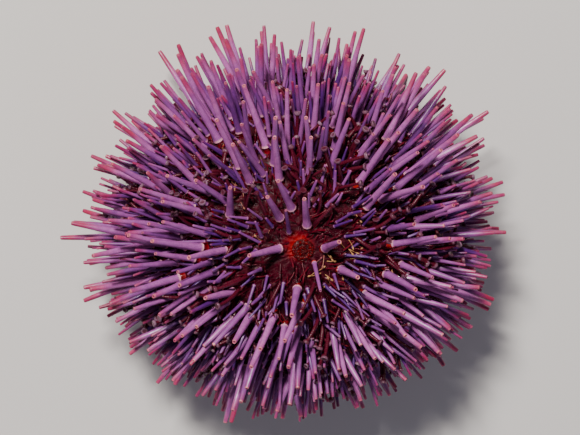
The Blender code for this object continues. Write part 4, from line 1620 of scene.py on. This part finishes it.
# The discs are dark near the pole and pale farther out, each with a draw of its own
PALE_FROM = 0.008
PALE_OVER = 0.012
PALE_LEAST = 0.15
PALE_DRAW = (0.35, 1)
STALK_DRAW = (0.8, 1.15)

FOOT_SIDES = 7
DISC_RIM = 0.02
DISC_THICKNESS = 0.0001
DISC_HOLLOW = 0.04
DISC_DIP = 0.00015
FOOT_STATIONS = (
    (0.0, 1.2),
    (0.18, 0.98),
    (0.40, 0.92),
    (0.64, 0.86),
    (0.86, 0.76),
    (0.91, 0.9),
    (0.945, 1.5),
    (0.990, 1.8),
    (1.020, 1.6),
    (1.040, 1.05),
    (1.050, 0.65),
    (1.060, 0.2),
)

# Columns of tube feet across an ambulacrum, how far a root strays from its column, the distance from one to
# the next, and the chance that one stands there by how far down it is
FOOT_COLUMNS = (-1.02, -0.66, 0.66, 1.02)
FOOT_STRAY = 0.14
FOOT_DISTANCE = (0.0007, 0.0015)
FOOT_CHANCES = ((0, 0.12, 0.3), (0.1, 0.3, 1))


def foot_roots(chance):
    """Roots of the tube feet: down both edges of every ambulacrum, from near the pole to the mouth."""
    low, high = way_down(APICAL_RADIUS * 0.9), way_down(PERISTOME_RADIUS, crown=False)
    found = []
    for home in homes():
        if home.kind != "ambulacrum":
            continue
        for across in FOOT_COLUMNS:
            way = low + chance.uniform(0, 0.001)
            while way < high:
                turn = home.middle + home.half * (across + chance.uniform(-FOOT_STRAY, FOOT_STRAY))
                part = (way - low) / (high - low)
                if chance.random() < np.interp(part, *FOOT_CHANCES):
                    found.append(surface_point(way, turn))
                way += chance.uniform(*FOOT_DISTANCE)
    return found


def clearance(points):
    """How far a few points are from the nearest larger or small spine's surface."""
    count = len(THICKET.spines)
    starts, runs = THICKET.starts[:count], THICKET.runs[:count]
    between = points[:, None] - starts[None]
    part = np.clip((between * runs[None]).sum(2) / (runs * runs).sum(1)[None], 0, 1)
    apart = np.linalg.norm(between - part[..., None] * runs[None], axis=2)
    thick = THICKET.roots[:count] + (THICKET.tips[:count] - THICKET.roots[:count]) * part
    return float((apart - thick).min())


def arc_points(root, axis, towards, bend, length, count=5):
    ways = np.linspace(0.25, 1, count) * length
    turns = ways * bend
    return root + np.outer(np.sin(turns) / bend, axis) + np.outer((1 - np.cos(turns)) / bend, towards)


# A draw that runs into the test or the floor counts as this much less free for each of its points there
BLOCKED = 10
CLEAR_OF_TEST = 0.0002
CLEAR_OF_FLOOR = 0.0004

# How often a curl turns out of its plane, and how far
ASIDE_CHANCE = 0.35
ASIDE_TURN = 1.2


def best_curl(root, chance, length, curl):
    """The freest of a few draws of a curled thing that grows from a root: its axis, side and bend."""
    root = Vector(root)
    straight = outward(root)
    best = None
    for _ in range(curl.tries):
        side = downhill(straight)
        side.rotate(Matrix.Rotation(chance.uniform(-curl.fan, curl.fan), 3, straight))
        axis = (straight + side * math.tan(chance.uniform(*curl.lean))).normalized()
        towards = (side - axis * side.dot(axis)).normalized()
        if chance.random() < ASIDE_CHANCE:
            towards.rotate(Matrix.Rotation(chance.uniform(-ASIDE_TURN, ASIDE_TURN), 3, axis))
        bend = chance.uniform(*curl.bend) / length
        points = arc_points(np.array(root), np.array(axis), np.array(towards), bend, length)
        free = clearance(points)
        free -= BLOCKED * np.count_nonzero(within_test(points, CLEAR_OF_TEST))
        free -= BLOCKED * np.count_nonzero(points[:, 2] < CLEAR_OF_FLOOR)
        if best is None or free > best[0]:
            best = (free, axis, towards, bend)
    return best


def curled(roots, chance, lengths, curl):
    """Arrays of bent strands, each the freest of a few draws."""
    rows = [best_curl(root, chance, length, curl) for root, length in zip(roots, lengths)]
    return {
        "root": np.array([tuple(root) for root in roots]),
        "axis": np.array([tuple(row[1]) for row in rows]),
        "towards": np.array([tuple(row[2]) for row in rows]),
        "bend": np.array([row[3] for row in rows]),
    }


class URCHIN_OT_tube_feet(bpy.types.Operator):
    """Tube feet down the ambulacra, curled in among the spines, with their sucker discs"""

    bl_idname = "urchin.tube_feet"
    bl_label = "Tube feet"

    def execute(self, context):
        soft = context.scene.urchin_soft
        chance = random.Random(SEED + 4)
        roots = foot_roots(chance)
        lengths = np.array([chance.uniform(soft.shortest, soft.longest) for _ in roots])
        strands = curled(roots, chance, lengths, FOOT_CURL)
        spread = np.array([math.hypot(root.x, root.y) for root in roots])
        drawn = np.array([chance.uniform(*PALE_DRAW) for _ in roots])
        pale = np.clip((spread - PALE_FROM) / PALE_OVER, PALE_LEAST, 1) * drawn
        strands["values"] = {"pale": pale}
        master = master_of(drawn_out("foot_master", FOOT_SIDES, FOOT_STATIONS))
        height = master.points[:, 2][None]
        stalk = np.array([soft.stalk * chance.uniform(*STALK_DRAW) for _ in roots])[:, None]
        rim = np.clip((height - 1) / DISC_RIM, 0, 1) * DISC_THICKNESS
        dip = np.clip(height - 1 - DISC_RIM, 0, 1) / DISC_HOLLOW * DISC_DIP
        ways = lengths[:, None] * np.minimum(height, 1) + rim - dip
        girths = stalk * np.ones_like(height)
        made = planted("tube_feet", master, strands, ways, girths)
        finished(made, foot_material(soft), "spined_test", sharp=60)
        return {"FINISHED"}


FILAMENT_SIDES = 5
FILAMENT_STATIONS = ((0.0, 1.2), (0.3, 0.9), (0.6, 0.95), (0.85, 1.0), (1.0, 0.35))
FILAMENT_LENGTHS = (0.0014, 0.0040)
FILAMENT_GIRTHS = (0.00010, 0.00024)
FILAMENT_TINTS = (-0.5, 0.6)


class URCHIN_OT_filaments(bpy.types.Operator):
    """Fine curled filaments that cover the skin between the spines"""

    bl_idname = "urchin.filaments"
    bl_label = "Filaments"

    def execute(self, context):
        soft = context.scene.urchin_soft
        skin = context.scene.urchin_skin
        chance = random.Random(SEED + 5)
        low, high = way_down(PERIPROCT_RADIUS), way_down(PERISTOME_RADIUS, crown=False)
        roots = [
            surface_point(random_way(chance, low, high), chance.uniform(-math.pi, math.pi))
            for _ in range(soft.filaments)
        ]
        lengths = np.array([chance.uniform(*FILAMENT_LENGTHS) for _ in roots])
        strands = curled(roots, chance, lengths, FILAMENT_CURL)
        strands["values"] = {"tint": np.array([chance.uniform(*FILAMENT_TINTS) for _ in roots])}
        master = master_of(drawn_out("filament_master", FILAMENT_SIDES, FILAMENT_STATIONS))
        ways = lengths[:, None] * master.points[:, 2][None]
        thick = np.array([chance.uniform(*FILAMENT_GIRTHS) for _ in roots])[:, None]
        made = planted("skin_filaments", master, strands, ways, thick * np.ones_like(ways))
        material = thread_material("skin_filaments", tuple(skin.flesh), srgb(0.44, 0.05, 0.13))
        finished(made, material, "spined_test", sharp=80)
        return {"FINISHED"}


PINCER_SIDES = 6
PINCER_STATIONS = ((0.0, 0.5), (0.35, 0.32), (0.7, 0.32), (0.78, 0.9), (0.88, 1.0), (0.97, 0.6), (1.0, 0.15))
PINCER_LENGTHS = (0.0018, 0.0034)
PINCER_GIRTHS = (0.00016, 0.00025)
PINCER_TINTS = (-0.6, 0.4)

# The jaws of a pincer's head start at this height and stand out from it as three lobes
JAWS_FROM = 0.8
JAW_COUNT = 3
JAW_RISE = 0.3

# One pincer in so many is gold and stands by the pole, within these turns round it
GOLD_ONE_IN = 16
GOLD_TURNS = (-1.4, 0.3)
GOLD_TINT = 0.7


class URCHIN_OT_pincers(bpy.types.Operator):
    """Small stalked pincers among the spines, gold near the pole"""

    bl_idname = "urchin.pincers"
    bl_label = "Pincers"

    def execute(self, context):
        soft = context.scene.urchin_soft
        chance = random.Random(SEED + 6)
        low, high = way_down(PERIPROCT_RADIUS * 1.3), way_down(PERISTOME_RADIUS, crown=False)
        near = way_down(APICAL_RADIUS * 1.7)
        golden = np.arange(soft.pincers) < soft.pincers // GOLD_ONE_IN
        roots = []
        for gold in golden:
            turn = chance.uniform(*(GOLD_TURNS if gold else (-math.pi, math.pi)))
            roots.append(surface_point(random_way(chance, low, near if gold else high), turn))
        lengths = np.array([chance.uniform(*PINCER_LENGTHS) for _ in roots])
        strands = curled(roots, chance, lengths, PINCER_CURL)
        tints = [chance.uniform(*PINCER_TINTS) for _ in roots]
        strands["values"] = {"tint": np.where(golden, GOLD_TINT, tints)}
        master = master_of(drawn_out("pincer_master", PINCER_SIDES, PINCER_STATIONS))
        turn = np.arctan2(master.points[:, 1], master.points[:, 0])
        lobes = np.where(master.points[:, 2] > JAWS_FROM, 1 + JAW_RISE * np.cos(JAW_COUNT * turn), 1)
        master.points[:, :2] *= lobes[:, None]
        ways = lengths[:, None] * master.points[:, 2][None]
        thick = np.array([chance.uniform(*PINCER_GIRTHS) for _ in roots])[:, None]
        made = planted("pincers", master, strands, ways, thick * np.ones_like(ways))
        material = thread_material("pincers", srgb(0.52, 0.26, 0.30), tuple(soft.gold), 0.2)
        finished(made, material, "spined_test", sharp=60)
        return {"FINISHED"}


# The stage

FLOOR_SIZE = 4
FLOOR_DROP = 0.0001
LIT_MIDDLE = (0, 0, 0.02)
KEY_PLACE = (-0.30, 0.62, 0.85)
KEY_SIZE = 0.2
KEY_COLOUR = (1.0, 0.95, 0.92)
FILL_PLACE = (0.48, -0.72, 0.34)
FILL_SIZE = 0.7
FILL_COLOUR = (0.72, 0.72, 1.0)
STUDIO_COLOUR = (0.85, 0.82, 0.92, 1)
STUDIO_STRENGTH = 0.12
SIGHT_RANGE = (0.05, 20)


def camera_frame():
    """The camera's own directions: right, up, and back from the object."""
    back = Vector(VIEW_DIRECTION).normalized()
    right = Vector((0, 1, 0)).cross(back).normalized()
    return right, back.cross(right), back


def area_light(name, place, size, power, colour):
    """A soft round light that faces the middle of the animal."""
    light = bpy.data.lights.new(name, "AREA")
    light.shape = "DISK"
    light.size = size
    light.energy = power
    light.color = colour
    made = bpy.data.objects.new(name, light)
    bpy.context.scene.collection.objects.link(made)
    made.location = place
    made.rotation_euler = (Vector(place) - Vector(LIT_MIDDLE)).to_track_quat("Z", "Y").to_euler()


class URCHIN_OT_stage(bpy.types.Operator):
    """Pale floor, soft light and the camera at the picture's angle"""

    bl_idname = "urchin.stage"
    bl_label = "Stage"

    def execute(self, context):
        look = context.scene.urchin_stage
        deselect()
        bpy.ops.mesh.primitive_plane_add(size=FLOOR_SIZE, location=(0, 0, -FLOOR_DROP))
        floor = context.object
        floor.name = "floor"
        bpy.ops.object.transform_apply(location=True)
        floor.data.materials.append(floor_material(look))
        area_light("key", KEY_PLACE, KEY_SIZE, look.key, KEY_COLOUR)
        area_light("fill", FILL_PLACE, FILL_SIZE, look.fill, FILL_COLOUR)
        world = bpy.data.worlds.new("studio")
        world.use_nodes = True
        around = world.node_tree.nodes["Background"]
        around.inputs["Color"].default_value = STUDIO_COLOUR
        around.inputs["Strength"].default_value = STUDIO_STRENGTH
        context.scene.world = world
        self.add_camera(context)
        return {"FINISHED"}

    def add_camera(self, context):
        right, up, back = camera_frame()
        pole = POLE + Vector((0, 0, POLE_LEVEL))
        across = (POLE_PIXEL[0] - PICTURE_WIDTH / 2) / PIXELS_PER_METRE
        above = (PICTURE_HEIGHT / 2 - POLE_PIXEL[1]) / PIXELS_PER_METRE
        aim = pole - right * across - up * above
        camera = bpy.data.cameras.new("camera")
        camera.sensor_width = SENSOR_WIDTH
        camera.lens = SENSOR_WIDTH * VIEW_DISTANCE * PIXELS_PER_METRE / PICTURE_WIDTH
        made = bpy.data.objects.new("camera", camera)
        context.scene.collection.objects.link(made)
        turned = Matrix((right, up, back)).transposed().to_4x4()
        made.matrix_world = Matrix.Translation(aim + back * VIEW_DISTANCE) @ turned
        camera.clip_start, camera.clip_end = SIGHT_RANGE
        context.scene.camera = made


OPERATORS = (
    URCHIN_OT_skin,
    URCHIN_OT_periproct,
    URCHIN_OT_mouth,
    URCHIN_OT_teeth,
    URCHIN_OT_muscles,
    URCHIN_OT_spines,
    URCHIN_OT_small_spines,
    URCHIN_OT_tube_feet,
    URCHIN_OT_filaments,
    URCHIN_OT_pincers,
    URCHIN_OT_stage,
)


class URCHIN_PT_panel(bpy.types.Panel):
    """Settings and pieces of the urchin"""

    bl_idname = "URCHIN_PT_panel"
    bl_label = "Sea urchin"
    bl_space_type = "VIEW_3D"
    bl_region_type = "UI"
    bl_category = "Urchin"

    def draw(self, context):
        for title in SETTINGS:
            box = self.layout.box()
            for name in SETTINGS[title].__annotations__:
                box.prop(getattr(context.scene, title), name)
        for operator in OPERATORS:
            self.layout.operator(operator.bl_idname)


CLASSES = (*SETTINGS.values(), *OPERATORS, URCHIN_PT_panel)


def register():
    for item in CLASSES:
        bpy.utils.register_class(item)
    for title, group in SETTINGS.items():
        setattr(bpy.types.Scene, title, bpy.props.PointerProperty(type=group))


def unregister():
    for title in SETTINGS:
        delattr(bpy.types.Scene, title)
    for item in reversed(CLASSES):
        bpy.utils.unregister_class(item)


def main():
    register()
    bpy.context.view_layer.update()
    for operator in OPERATORS:
        group, name = operator.bl_idname.split(".")
        getattr(getattr(bpy.ops, group), name)()


if __name__ == "__main__":
    main()
